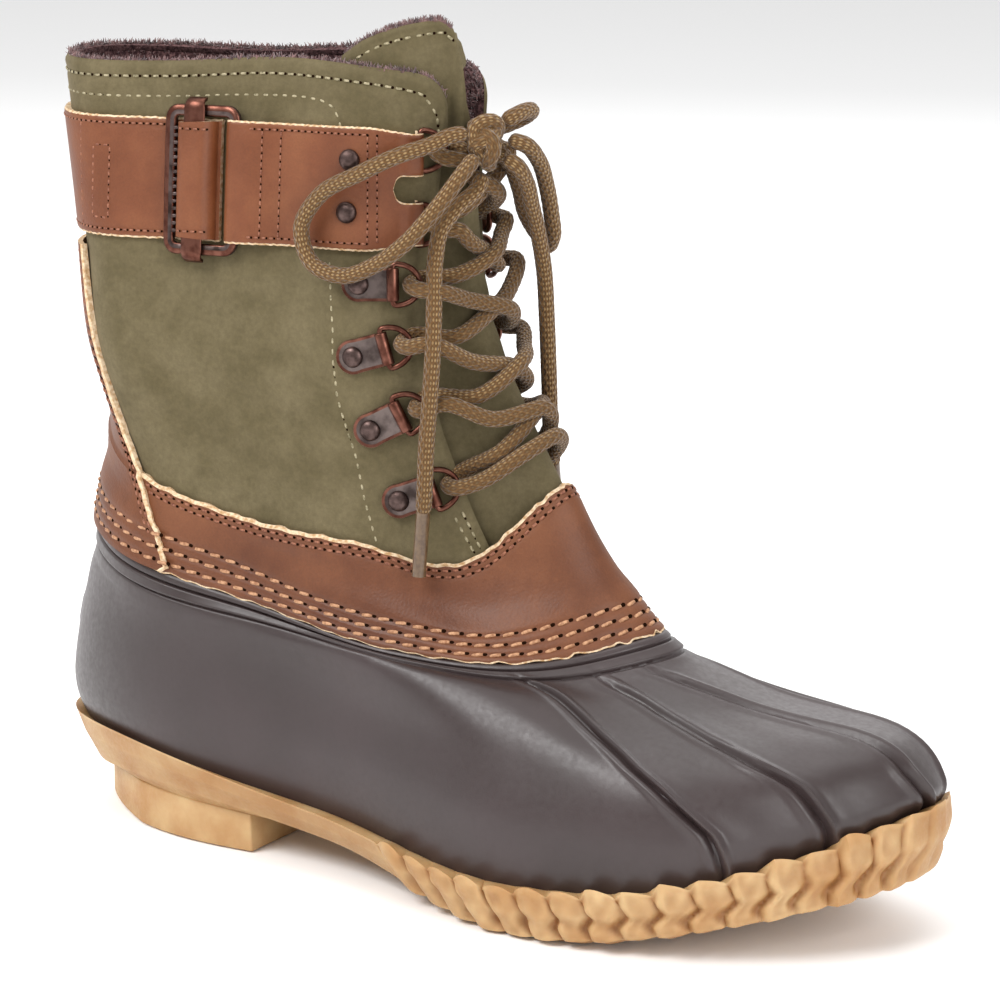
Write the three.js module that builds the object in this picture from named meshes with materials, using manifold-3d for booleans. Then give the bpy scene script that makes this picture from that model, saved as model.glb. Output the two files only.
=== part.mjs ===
// A lace-up duck boot for the right foot: rubber shell, leather panel, nubuck shaft, buckled strap.
// Millimetres, +Z up, +X to the toe, +Y to the inner (big toe) side.
// The origin is the middle of the heel block's flat underside.
import * as THREE from 'three';
import { mergeVertices } from 'three/addons/utils/BufferGeometryUtils.js';
import Module from 'manifold-3d';

const wasm = await Module();
wasm.setup();

// Main sizes
const length = 290;          // rim of the sole, heel to toe
const ballWidth = 94;        // across the rubber shell at the ball of the foot
const heelSeat = 25;         // floor to the seat under the heel
const shellRise = 70;        // seat to the shell's top edge, at the heel
const panelRise = 101;       // seat to the leather panel's top edge, at the heel
const shaftHeight = 233;     // floor to the collar
const clearance = 0.3;       // air left between two pieces that touch
const layerGap = 0.5;        // air left between two curved layers of the upper

// Walls
const shellWall = 2.4;
const leatherWall = 1.6;
const shaftWall = 3.0;       // nubuck with its fleece lining
const tongueWall = 2.6;
const insoleThickness = 5;

// Sole
const rimLip = 1.4;          // how far the rim's top lip leans out over its lower edge, at the ball
const lugDepth = 3;
const ripplePitch = 10.6;    // lumps along the rim
const rippleDepth = 2.2;
const rippleStart = 157;     // along the rim from the middle of the heel
const heelBlockFront = 85;   // breast of the heel block, from the heel's back
const heelBlockBack = 10;
const heelBlockInset = 4;    // heel block's side inside the rim's lower edge
const heelLugs = 4;
const heelGroove = 4;        // between two lugs of the heel block

// Shell details
const bandWidth = 9;         // double band under the leather
const grooveWidth = 1.2;
const grooveDepth = 0.9;
const ribHeight = 1.7;       // toe ribs

// Strap, buckle and rings
const strapWidth = 35;
const strapShare = 0.8605;   // the strap's middle line, as a share of the shaft's height
const strapHeight = shaftHeight * strapShare;
const strapRiseForward = 1;  // how much higher the strap lies at its front end
const notchHeight = 7.5;     // gap between the strap's two front lugs
const frameLong = 43;
const frameWide = 23.5;
const frameBar = 3.2;
const frameThick = 1.4;
const sliderWide = 7;
const sliderThick = 1.4;
const wireRadius = 0.85;
const ringHeight = 13.5;
const ringReach = 8.6;
const tubeRadius = 1.8;
const clipHeight = 10;
const clipReach = 10.5;      // rivet to hinge
const clipThick = 1.2;
const rivetRadius = 3;
const rivetRise = 1.5;

// Laces
const laceDiameter = 4.8;
const laceStep = 14;         // length of a straight piece of a lace's tube

const half = ballWidth / 2;
const overlay = leatherWall + layerGap;
const radians = THREE.MathUtils.degToRad;

// Stations along the boot, heel to toe, as shares of a section's own length
const stations = [0, 0.12, 0.38, 0.65, 0.88, 1];

// Seat and tread heights above the floor at the stations, as shares of the heel's seat
const seatShares = [1, 0.96, 0.68, 0.4, 0.72, 1.12];
const treadShares = [0.56, 0.535, 0.38, -0.06, 0.37, 0.7];

// Sections of the last, bottom to top. back and front are shares of the length.
// outer and inner are half widths at the heel, waist, ball and toe, and tip is the toe's swing,
// all as shares of half the ball width. rise holds shares of the named height, at the stations.
const sections = [
  { name: 'seat', back: 0.031, front: 0.962, outer: [0.64, 0.68, 1, 0.77], inner: [0.64, 0.6, 0.85, 0.72],
    tip: 0.15, from: 'seat', size: shellRise, rise: [0, 0, 0, 0, 0, 0] },
  { name: 'line', back: 0.017, front: 0.979, outer: [0.68, 0.74, 1.085, 0.83], inner: [0.68, 0.62, 0.89, 0.77],
    tip: 0.17, from: 'seat', size: shellRise, rise: [0.04, 0.06, 0.03, 0.06, 0.085, 0.115] },
  { name: 'bulge', back: 0.003, front: 0.99, outer: [0.72, 0.79, 1.105, 0.85], inner: [0.72, 0.66, 0.915, 0.79],
    tip: 0.17, from: 'seat', size: shellRise, rise: [0.24, 0.24, 0.27, 0.31, 0.27, 0.23] },
  { name: 'shoulder', back: 0.024, front: 0.948, outer: [0.7, 0.745, 0.98, 0.79], inner: [0.7, 0.68, 0.85, 0.7],
    tip: 0.15, from: 'seat', size: shellRise, rise: [0.69, 0.61, 0.59, 0.57, 0.47, 0.4] },
  { name: 'toeTop', back: 0.038, front: 0.807, outer: [0.68, 0.77, 0.81, 0.55], inner: [0.68, 0.72, 0.72, 0.51],
    tip: 0.13, from: 'seat', size: shellRise, rise: [0.84, 0.77, 0.76, 0.8, 0.63, 0.49] },
  { name: 'shellEdge', back: 0.048, front: 0.697, outer: [0.66, 0.72, 0.7, 0.47], inner: [0.64, 0.7, 0.66, 0.43],
    tip: 0.085, from: 'seat', size: shellRise, rise: [1, 0.93, 0.89, 0.87, 0.76, 0.7] },
  { name: 'panelEdge', back: 0.067, front: 0.6, outer: [0.62, 0.7, 0.64, 0.36], inner: [0.6, 0.68, 0.64, 0.38],
    tip: 0.02, from: 'seat', size: panelRise, rise: [1, 0.91, 0.86, 0.89, 0.79, 0.89] },
  { name: 'ankle', back: 0.052, front: 0.522, outer: [0.735, 0.775, 0.69, 0.51], inner: [0.735, 0.775, 0.69, 0.51],
    tip: 0, from: 'floor', size: shaftHeight, rise: [0.65, 0.648, 0.648, 0.65, 0.658, 0.67] },
  { name: 'shaftMiddle', back: 0.038, front: 0.5, outer: [0.72, 0.735, 0.63, 0.5], inner: [0.73, 0.745, 0.64, 0.5],
    tip: 0, from: 'floor', size: shaftHeight, rise: [0.816, 0.816, 0.816, 0.816, 0.816, 0.816] },
  { name: 'collar', back: 0.009, front: 0.512, outer: [0.66, 0.66, 0.55, 0.47], inner: [0.56, 0.58, 0.49, 0.4],
    tip: 0, from: 'floor', size: shaftHeight, rise: [1, 1.002, 1.006, 1.017, 1.007, 0.996] },
  { name: 'tongueTop', back: 0, front: 0.517, outer: [0.66, 0.66, 0.55, 0.47], inner: [0.56, 0.58, 0.49, 0.4],
    tip: 0, from: 'floor', size: shaftHeight, rise: [1.09, 1.09, 1.09, 1.09, 1.09, 1.09] },
];
const level = Object.fromEntries(sections.map((section, index) => [section.name, index]));

// The sole's own outlines: its lower edge and its top lip
const rimLow = { back: 0.032, front: 0.989, outer: [0.66, 0.745, 1.13, 0.85], inner: [0.7, 0.62, 0.915, 0.79],
  tip: 0.1, rise: [0.56, 0.7, 0.4, 0.03, 0.46, 0.79] };
const rimTop = { back: 0.003, front: 1, outer: [0.725, 0.85, 1.19, 0.87], inner: [0.745, 0.66, 0.94, 0.79],
  tip: 0.18, rise: [1.18, 1.24, 0.79, 0.56, 1.04, 1.56] };

// A smooth curve through one value for each station
function smooth(values, t) {
  const last = stations.length - 1;
  const slopes = values.map((value, i) => {
    if (i === 0) return (values[1] - value) / (stations[1] - stations[0]);
    if (i === last) return (value - values[i - 1]) / (stations[i] - stations[i - 1]);
    const before = stations[i] - stations[i - 1];
    const after = stations[i + 1] - stations[i];
    const rise = before * before * (values[i + 1] - value) + after * after * (value - values[i - 1]);
    return rise / (before * after * (before + after));
  });
  let i = 0;
  while (i < last - 1 && t > stations[i + 1]) i += 1;
  const width = stations[i + 1] - stations[i];
  const s = (t - stations[i]) / width;
  const fromStart = (2 * s - 3) * s * s + 1;
  const startSlope = ((s - 2) * s + 1) * s;
  const endSlope = (s - 1) * s * s;
  return fromStart * values[i] + (1 - fromStart) * values[i + 1]
    + width * (startSlope * slopes[i] + endSlope * slopes[i + 1]);
}

const along = (angle) => (1 - Math.cos(angle)) / 2;
const roundness = (t) => Math.sqrt(4 * t * (1 - t));
const seatAt = (t) => heelSeat * smooth(seatShares, t);
const treadAt = (t) => Math.max(0, heelSeat * smooth(treadShares, t));

// Half widths and middle line of a section, worked out once from its shares
function prepare(section) {
  const widths = section.outer.map((share, i) => (
    (share + section.inner[i]) / 2 * half / roundness(stations[i + 1])));
  section.halfWidths = [widths[0], ...widths, widths[3]];
  const middles = section.outer.map((share, i) => (section.inner[i] - share) / 2 * half);
  section.middles = [0, ...middles, section.tip * half];
  return section;
}
[...sections, rimLow, rimTop].forEach(prepare);

// A point of a section. The angle runs from 0 at the heel's back by the outer side to 180 at the toe.
function outlinePoint(section, angle, height) {
  const t = along(angle);
  const x = length * (section.back + (section.front - section.back) * t);
  const y = smooth(section.middles, t) - smooth(section.halfWidths, t) * Math.sin(angle);
  return new THREE.Vector3(x, y, height);
}

function sectionPoint(section, angle) {
  const t = along(angle);
  const base = section.from === 'seat' ? seatAt(t) : 0;
  return outlinePoint(section, angle, base + section.size * smooth(section.rise, t));
}

// The surface of the last: a smooth curve through the sections at one angle
function lastPoint(angle, at) {
  const top = sections.length - 1;
  const k = Math.min(Math.max(Math.floor(at), 0), top - 1);
  const s = at - k;
  const low = sectionPoint(sections[k], angle);
  const high = sectionPoint(sections[k + 1], angle);
  const below = k > 0 ? sectionPoint(sections[k - 1], angle) : low;
  const above = k + 2 <= top ? sectionPoint(sections[k + 2], angle) : high;
  const leave = high.clone().sub(below).multiplyScalar(k > 0 ? 0.5 : 1);
  const arrive = above.clone().sub(low).multiplyScalar(k + 2 <= top ? 0.5 : 1);
  const fromLow = (2 * s - 3) * s * s + 1;
  return low.multiplyScalar(fromLow)
    .addScaledVector(high, 1 - fromLow)
    .addScaledVector(leave, ((s - 2) * s + 1) * s)
    .addScaledVector(arrive, (s - 1) * s * s);
}

function lastDirections(angle, at) {
  const step = 0.01;
  const forward = lastPoint(angle + step, at).sub(lastPoint(angle - step, at)).multiplyScalar(0.5 / step);
  const lower = Math.max(at - step, 0);
  const upper = Math.min(at + step, sections.length - 1);
  const up = lastPoint(angle, upper).sub(lastPoint(angle, lower)).multiplyScalar(1 / (upper - lower));
  return { forward, up, out: forward.clone().cross(up).normalize() };
}

// A point at a depth off the last, outwards when positive
function skin(angle, at, depth = 0) {
  const point = lastPoint(angle, at);
  return depth === 0 ? point : point.addScaledVector(lastDirections(angle, at).out, depth);
}

// The level that lies a distance below another one, measured on the surface
function levelBelow(angle, from, distance) {
  const step = 0.02;
  let at = from;
  let walked = 0;
  let point = lastPoint(angle, at);
  while (at > step && walked < distance) {
    const next = lastPoint(angle, at - step);
    walked += next.distanceTo(point);
    point = next;
    at -= step;
  }
  return at;
}

// The level where the surface reaches a height above the floor
function levelAtHeight(angle, height) {
  let low = level.shellEdge;
  let high = level.tongueTop;
  for (let i = 0; i < 24; i += 1) {
    const middle = (low + high) / 2;
    if (lastPoint(angle, middle).z < height) low = middle;
    else high = middle;
  }
  return (low + high) / 2;
}

// A closed body from its points and faces, turned the right way out
function body(points, faces) {
  let volume = 0;
  faces.forEach(([a, b, c]) => {
    volume += points[a].dot(points[b].clone().cross(points[c]));
  });
  const geometry = new THREE.BufferGeometry();
  geometry.setAttribute('position', new THREE.Float32BufferAttribute(points.flatMap((p) => p.toArray()), 3));
  geometry.setIndex((volume < 0 ? faces.map(([a, b, c]) => [a, c, b]) : faces).flat());
  geometry.computeVertexNormals();
  return geometry;
}

// A wall between two grids of points of the same size. Cells that keep says no to are left open,
// and every free edge gets a face between the grids.
function wall(outer, inner, { around = false, keep = () => true } = {}) {
  const rows = outer.length;
  const columns = outer[0].length;
  const points = [...outer.flat(), ...inner.flat()];
  const out = (r, c) => r * columns + (c % columns);
  const back = (r, c) => rows * columns + out(r, c);
  const faces = [];
  const quad = (a, b, c, d) => faces.push([a, b, c], [a, c, d]);
  const lastColumn = around ? columns : columns - 1;
  const filled = (r, c) => {
    if (r < 0 || r >= rows - 1) return false;
    if (!around && (c < 0 || c >= lastColumn)) return false;
    return keep(r, (c + lastColumn) % lastColumn);
  };
  for (let r = 0; r < rows - 1; r += 1) {
    for (let c = 0; c < lastColumn; c += 1) {
      if (!filled(r, c)) continue;
      quad(out(r, c), out(r, c + 1), out(r + 1, c + 1), out(r + 1, c));
      quad(back(r, c), back(r + 1, c), back(r + 1, c + 1), back(r, c + 1));
      if (!filled(r - 1, c)) quad(back(r, c), back(r, c + 1), out(r, c + 1), out(r, c));
      if (!filled(r + 1, c)) quad(out(r + 1, c), out(r + 1, c + 1), back(r + 1, c + 1), back(r + 1, c));
      if (!filled(r, c - 1)) quad(out(r, c), out(r + 1, c), back(r + 1, c), back(r, c));
      if (!filled(r, c + 1)) quad(back(r, c + 1), back(r + 1, c + 1), out(r + 1, c + 1), out(r, c + 1));
    }
  }
  const used = [...new Set(faces.flat())];
  const place = new Map(used.map((index, i) => [index, i]));
  return body(used.map((index) => points[index]), faces.map((face) => face.map((index) => place.get(index))));
}

// A wall that follows the last: rows hold a level and two depths, columns hold angles
function skinWall(rows, columns, options) {
  const grid = (side) => rows.map((row) => columns.map((column) => {
    const at = typeof row.at === 'function' ? row.at(column) : row.at;
    const angle = typeof column === 'function' ? column(at) : column;
    const depth = typeof row[side] === 'function' ? row[side](angle, at) : row[side];
    return skin(angle, at, depth);
  }));
  return wall(grid('outer'), grid('inner'), options);
}

// Sections of equal size joined in a row, with flat ends
function loft(loops) {
  const size = loops[0].length;
  const faces = [];
  for (let k = 0; k < loops.length - 1; k += 1) {
    for (let i = 0; i < size; i += 1) {
      const a = k * size + i;
      const b = k * size + ((i + 1) % size);
      faces.push([a, b, b + size], [a, b + size, a + size]);
    }
  }
  const end = (loops.length - 1) * size;
  for (let i = 1; i < size - 1; i += 1) faces.push([0, i + 1, i], [end, end + i, end + i + 1]);
  return body(loops.flat(), faces);
}

// Loops around the boot joined upwards, closed at both ends by strips from side to side.
// The loops' points are even in number and lie in pairs, one on each side.
function stack(loops, bottomStrip, topStrip) {
  const size = loops[0].length;
  const points = loops.flat();
  const faces = [];
  for (let k = 0; k < loops.length - 1; k += 1) {
    for (let i = 0; i < size; i += 1) {
      const a = k * size + i;
      const b = k * size + ((i + 1) % size);
      faces.push([a, b, b + size], [a, b + size, a + size]);
    }
  }
  const close = (first, strip, flip) => {
    const middle = size / 2;
    const lines = [];
    for (let i = 0; i <= middle; i += 1) {
      const near = first + i;
      const far = first + ((size - i) % size);
      if (near === far) {
        lines.push([near]);
        continue;
      }
      const inside = strip(points[near], points[far]).map((point) => points.push(point) - 1);
      lines.push([near, ...inside, far]);
    }
    for (let i = 0; i < middle; i += 1) {
      const here = lines[i];
      const next = lines[i + 1];
      const steps = Math.max(here.length, next.length) - 1;
      for (let j = 0; j < steps; j += 1) {
        const a = here[Math.min(j, here.length - 1)];
        const b = here[Math.min(j + 1, here.length - 1)];
        const c = next[Math.min(j + 1, next.length - 1)];
        const d = next[Math.min(j, next.length - 1)];
        const pair = [[a, b, c], [a, c, d]].filter(([p, q, r]) => p !== q && q !== r && p !== r);
        pair.forEach(([p, q, r]) => faces.push(flip ? [p, r, q] : [p, q, r]));
      }
    }
  };
  close(0, bottomStrip, false);
  close((loops.length - 1) * size, topStrip, true);
  return body(points, faces);
}

// A closed wire loop of round section through points in one plane
function wireLoop(points, radius, normal, sides = 6) {
  const count = points.length;
  const ringPoints = [];
  points.forEach((point, i) => {
    const ahead = points[(i + 1) % count].clone().sub(points[(i + count - 1) % count]).normalize();
    const across = normal.clone().cross(ahead);
    for (let j = 0; j < sides; j += 1) {
      const turn = (j / sides) * 2 * Math.PI;
      ringPoints.push(point.clone()
        .addScaledVector(across, radius * Math.cos(turn))
        .addScaledVector(normal, radius * Math.sin(turn)));
    }
  });
  const faces = [];
  for (let i = 0; i < count; i += 1) {
    for (let j = 0; j < sides; j += 1) {
      const a = i * sides + j;
      const b = i * sides + ((j + 1) % sides);
      const c = ((i + 1) % count) * sides + ((j + 1) % sides);
      const d = ((i + 1) % count) * sides + j;
      faces.push([a, b, c], [a, c, d]);
    }
  }
  return body(ringPoints, faces);
}

function toSolid(geometry) {
  const bare = geometry.clone();
  bare.deleteAttribute('normal');
  bare.deleteAttribute('uv');
  const merged = mergeVertices(bare, 1e-4);
  return new wasm.Manifold(new wasm.Mesh({
    numProp: 3,
    vertProperties: new Float32Array(merged.attributes.position.array),
    triVerts: new Uint32Array(merged.index.array),
  }));
}

function fromSolid(solid) {
  const mesh = solid.getMesh();
  const geometry = new THREE.BufferGeometry();
  geometry.setAttribute('position', new THREE.Float32BufferAttribute(mesh.vertProperties, 3));
  geometry.setIndex(new THREE.Uint32BufferAttribute(mesh.triVerts, 1));
  geometry.computeVertexNormals();
  return geometry;
}

// Colours of the real materials
const material = (color, roughness, metalness = 0) => (
  new THREE.MeshStandardMaterial({ color, roughness, metalness, side: THREE.DoubleSide }));
const gum = material('#cfa56c', 0.6);
const rubber = material('#554c4a', 0.35);
const leather = material('#8a5537', 0.55);
const nubuck = material('#6d6a48', 0.95);
const fleece = material('#5a4044', 1);
const copper = material('#8d6353', 0.35, 0.9);
const steel = material('#5b5150', 0.4, 0.9);
const lace = material('#8f7448', 0.85);

const boot = new THREE.Group();
const heelBlockMiddle = (heelBlockBack + heelBlockFront) / 2;
boot.position.x = -heelBlockMiddle;

function add(name, geometry, finish) {
  const mesh = new THREE.Mesh(geometry, finish);
  mesh.name = name;
  boot.add(mesh);
  return mesh;
}

// Angles evenly spaced from one to another, both ends in
const spread = (from, to, count) => (
  Array.from({ length: count }, (_, i) => radians(from + ((to - from) * i) / (count - 1))));

// Angles on the outer side mirrored to the inner side, for a full turn
const fullTurn = (side) => [...side, ...side.slice(1, -1).reverse().map((angle) => 2 * Math.PI - angle)];

// Where the rim's lumps lie: three angles to a lump, from the waist to the toe's tip
const lumpSamples = 3;
const lumpSwell = [0, 0.9, 0.75];
const plainSwell = 0.4;      // the plain part of the rim lies between a lump's top and its groove

function rippleColumns() {
  const samples = [{ angle: 0, walked: 0 }];
  const step = radians(0.25);
  const flat = (angle) => outlinePoint(rimTop, angle, 0);
  for (let angle = step; angle <= Math.PI; angle += step) {
    const { walked } = samples[samples.length - 1];
    samples.push({ angle, walked: walked + flat(angle).distanceTo(flat(angle - step)) });
  }
  const total = samples[samples.length - 1].walked;
  const lumps = Math.round((total - rippleStart) / ripplePitch);
  const count = lumps * lumpSamples;
  const columns = [];
  for (let i = 0; i <= count; i += 1) {
    const wanted = rippleStart + ((total - rippleStart) * i) / count;
    const found = samples.find(({ walked }) => walked >= wanted - 1e-6) ?? samples[samples.length - 1];
    columns.push({ angle: i === count ? Math.PI : found.angle, phase: i % lumpSamples });
  }
  const smoothSide = spread(0, THREE.MathUtils.radToDeg(columns[0].angle), 11).slice(0, -1);
  return [...smoothSide.map((angle) => ({ angle, phase: -1 })), ...columns];
}

// Outsole: tread with lugs, plate, and a rim that stands up round the shell
function makeOutsole() {
  const side = rippleColumns();
  const columns = [...side, ...side.slice(1, -1).reverse().map(({ angle, phase }) => (
    { angle: 2 * Math.PI - angle, phase }))];
  const swell = (phase) => (phase < 0 ? 0 : lumpSwell[phase] - plainSwell) * rippleDepth;
  const rimPoint = (section, { angle, phase }, outwards, lift) => {
    const t = along(angle);
    const point = outlinePoint(section, angle, heelSeat * smooth(section.rise, t) + lift);
    const ahead = outlinePoint(section, angle + 0.01, 0).sub(outlinePoint(section, angle - 0.01, 0));
    const out = new THREE.Vector3(ahead.y, -ahead.x, 0).normalize();
    return point.addScaledVector(out, outwards + swell(phase));
  };
  const groundEdge = columns.map((column) => {
    const groove = column.phase === 0 ? lugDepth : 0;
    const point = rimPoint(rimLow, column, -heelBlockInset, 0);
    point.z = treadAt(along(column.angle)) + groove;
    return point;
  });
  const lowEdge = columns.map((column) => {
    const point = rimPoint(rimLow, column, 0, 0);
    const above = treadAt(along(column.angle)) + (column.phase === 0 ? lugDepth : 0) + clearance;
    point.z = Math.max(point.z, above);
    return point;
  });
  const waist = columns.map((column) => {
    const low = rimPoint(rimLow, column, rimLip, 0);
    return low.lerp(rimPoint(rimTop, column, 0, 0), 0.55);
  });
  const lip = columns.map((column) => rimPoint(rimTop, column, 0, swell(column.phase)));
  const lipInside = columns.map(({ angle }) => skin(angle, level.line, 2 * clearance));
  const floorEdge = columns.map(({ angle }) => {
    const point = skin(angle, level.seat, clearance);
    point.z -= clearance;
    return point;
  });
  const chevron = 3.5;
  const bottom = (near, far) => {
    const reach = Math.min(1, Math.abs(near.y - far.y) / half);
    const inTread = near.z < lugDepth + 1 ? chevron : 0;
    const middle = near.clone().lerp(far, 0.5);
    middle.x += inTread * reach;
    return [middle];
  };
  return stack([groundEdge, lowEdge, waist, lip, lipInside, floorEdge], bottom, () => []);
}

// Heel block under the sole's flat heel, plain at its sides, with grooves cut across its tread
function makeHeelBlock() {
  const draft = 1;             // how far the sides lean in towards the floor
  const roundBack = 30;        // length over which the block's back is rounded
  const places = [0.4, 2, 5, 11, 20, 32, 45, 60, heelBlockFront - heelBlockBack];
  const loops = places.map((fromBack) => {
    const x = heelBlockBack + fromBack;
    const t = THREE.MathUtils.clamp(
      (x / length - rimLow.back) / (rimLow.front - rimLow.back), 0.001, 1);
    const angle = Math.acos(1 - 2 * t);
    const outerY = outlinePoint(rimLow, angle, 0).y + heelBlockInset;
    const innerY = outlinePoint(rimLow, -angle, 0).y - heelBlockInset;
    const middle = (outerY + innerY) / 2;
    const reach = ((innerY - outerY) / 2) * Math.min(1, fromBack / roundBack) ** 0.25;
    const topZ = treadAt(t) - clearance;
    return [
      new THREE.Vector3(x, middle - reach + draft, 0),
      new THREE.Vector3(x, middle + reach - draft, 0),
      new THREE.Vector3(x, middle + reach, topZ),
      new THREE.Vector3(x, middle - reach, topZ),
    ];
  });
  let block = toSolid(loft(loops));
  const pitch = (heelBlockFront - heelBlockBack) / (heelLugs + 0.5);
  for (let i = 1; i <= heelLugs; i += 1) {
    const groove = new THREE.BoxGeometry(heelGroove, i === 1 ? 24 : 36, lugDepth * 2);
    groove.translate(heelBlockBack + pitch * (i - 0.1), 0, 0);
    block = block.subtract(toSolid(groove));
  }
  return fromSolid(block);
}

// Insole lying in the shell on the sole's plate
function makeInsole() {
  const angles = fullTurn(spread(0, 180, 14));
  const inset = -(shellWall + 6 * clearance);
  const loop = (lift) => angles.map((angle) => {
    const point = skin(angle, level.seat, inset);
    point.z = lastPoint(angle, level.seat).z + lift;
    return point;
  });
  const strip = (near, far) => [near.clone().lerp(far, 0.5)];
  return stack([loop(0), loop(insoleThickness)], strip, strip);
}

// Toe ribs: angles at the top band and at the rim, in degrees, from the outer side to the inner side
const ribs = [
  { top: 134, low: 138 },
  { top: 149, low: 153 },
  { top: 164, low: 174 },
  { top: 196, low: 188 },
  { top: 211, low: 207 },
  { top: 226, low: 222 },
];
const ribHalfAngle = 3.4;

// Columns round the shell that follow the toe ribs
function shellColumns() {
  const slide = (top, low) => (at) => {
    const share = THREE.MathUtils.clamp((at - level.line) / (level.toeTop - level.line), 0, 1);
    return radians(low + (top - low) * share);
  };
  const plain = (angle) => Object.assign(slide(angle, angle), { crest: false });
  const list = spread(0, 128, 13).map((angle) => plain(THREE.MathUtils.radToDeg(angle)));
  ribs.forEach(({ top, low }) => {
    list.push(Object.assign(slide(top - ribHalfAngle, low - ribHalfAngle), { crest: false }));
    list.push(Object.assign(slide(top, low), { crest: true }));
    list.push(Object.assign(slide(top + ribHalfAngle, low + ribHalfAngle), { crest: false }));
  });
  const rest = spread(232, 360, 14).slice(0, -1);
  rest.forEach((angle) => list.push(plain(THREE.MathUtils.radToDeg(angle))));
  return list;
}

// Rubber shell: hollow, with toe ribs, a grooved double band and a thin flange under the leather
function makeShell() {
  const columns = shellColumns();
  const wallAt = -shellWall;
  const below = (distance) => (column) => levelBelow(column(level.shellEdge), level.shellEdge, distance);
  const fixed = (at) => () => at;
  const rows = [
    { at: fixed(level.seat), raised: 0 },
    { at: fixed(level.line), raised: 0 },
    { at: fixed(level.bulge), raised: 1 },
    { at: fixed(level.shoulder), raised: 1 },
    { at: (column) => Math.min(3.6, below(bandWidth + 3)(column)), raised: 0.8 },
    { at: below(bandWidth + grooveWidth), raised: 0 },
    { at: below(bandWidth), outer: 0.5 },
    { at: below(bandWidth / 2 + grooveWidth), outer: 0.5 },
    { at: below(bandWidth / 2 + grooveWidth / 2), outer: -grooveDepth },
    { at: below(bandWidth / 2), outer: 0.5 },
    { at: fixed(level.shellEdge - 0.02), outer: 0.5 },
    { at: fixed(level.shellEdge + 0.03), outer: -overlay, inner: -overlay - shellWall },
    { at: fixed(level.shellEdge + 0.42), outer: -overlay, inner: -overlay - shellWall },
  ];
  const grid = (depthOf) => rows.map((row) => columns.map((column) => {
    const at = row.at(column);
    return skin(column(at), at, depthOf(row, column));
  }));
  const outer = grid((row, column) => row.outer ?? (column.crest ? row.raised * ribHeight : 0));
  const inner = grid((row) => row.inner ?? wallAt);
  return wall(outer, inner, { around: true });
}

// Leather panel: all the way round between the shell and the shaft, rising in a peak over the vamp
function makePanel() {
  const columns = fullTurn(spread(0, 180, 26));
  const levels = [level.shellEdge + 0.05, 5.33, 5.67, level.panelEdge];
  return skinWall(levels.map((at) => ({ at, outer: 0, inner: -leatherWall })), columns, { around: true });
}

// Backstay: a leather strip up the back, narrow above and wide below, over the panel
const backstayEdge = [
  { at: 5.04, angle: 60 },
  { at: 5.5, angle: 57.5 },
  { at: 6.02, angle: 50.5 },
  { at: 6.25, angle: 45 },
  { at: 6.5, angle: 43 },
  { at: 6.8, angle: 43 },
  { at: 7.1, angle: 41.5 },
  { at: 7.7, angle: 38.5 },
];

function makeBackstay() {
  const shares = Array.from({ length: 15 }, (_, i) => i / 7 - 1);
  const overPanel = layerGap + 0.2;
  const overShaft = -leatherWall;
  const grid = (lift) => backstayEdge.map(({ at, angle }) => shares.map((share) => {
    const lying = THREE.MathUtils.smoothstep(at, level.panelEdge + 0.09, level.panelEdge + 0.4);
    return skin(radians(angle) * share, at, THREE.MathUtils.lerp(overPanel, overShaft, lying) + lift);
  }));
  return wall(grid(leatherWall), grid(0));
}

// Edge of the throat on the outer side at each level of the shaft
const throatEdge = [
  { at: 5.8, angle: 142 },
  { at: 6.2, angle: 142 },
  { at: 6.6, angle: 143 },
  { at: 7, angle: 147 },
  { at: 7.5, angle: 152 },
  { at: 8, angle: 158 },
  { at: 8.65, angle: 160 },
  { at: 9, angle: 160 },
];

function fromTable(table, at, column) {
  const last = table.length - 1;
  let i = 0;
  while (i < last - 1 && at > table[i + 1].at) i += 1;
  const share = THREE.MathUtils.clamp((at - table[i].at) / (table[i + 1].at - table[i].at), 0, 1);
  return THREE.MathUtils.lerp(table[i][column], table[i + 1][column], share);
}

// Shaft: hollow, open in front from the collar down to the panel, with rounded top corners
function makeShaft() {
  const foot = 5.8;
  const rows = [0, 0.063, 0.2, 0.34, 0.49, 0.631, 0.766, 0.875, 1];
  const count = 33;
  const cornerRound = 0.34;
  const cornerStart = 0.9;
  const shares = Array.from({ length: count }, (_, i) => (i / (count - 1)) * 2 - 1);
  const packed = shares.map((share) => Math.sign(share) * Math.abs(share) ** 0.85);
  const grid = (depth) => rows.map((row) => packed.map((share) => {
    const past = Math.max(0, (Math.abs(share) - cornerStart) / (1 - cornerStart));
    const drop = cornerRound * (1 - Math.sqrt(Math.max(0, 1 - past * past)));
    const at = foot + (level.collar - drop - foot) * row;
    return skin(radians(fromTable(throatEdge, at, 'angle')) * share, at, depth);
  }));
  return wall(grid(-overlay), grid(-overlay - shaftWall));
}

// Tongue: under both throat edges, bulging out between them, and standing above the collar
const tongueEdge = [
  { at: 5.62, outer: 131, inner: 229, crown: -2.4 },
  { at: 6, outer: 128, inner: 230, crown: -2.2 },
  { at: 6.6, outer: 130, inner: 224, crown: -1.6 },
  { at: 7.2, outer: 132, inner: 214, crown: -1.4 },
  { at: 7.7, outer: 131, inner: 205, crown: -1.4 },
  { at: 8.1, outer: 128, inner: 194, crown: -1.5 },
  { at: 8.45, outer: 125, inner: 178, crown: -1.8 },
  { at: 8.8, outer: 121, inner: 168, crown: -2.4 },
  { at: 9.25, outer: 117, inner: 163, crown: -3.2 },
  { at: 9.75, outer: 116, inner: 160, crown: -3.6 },
];

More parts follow.
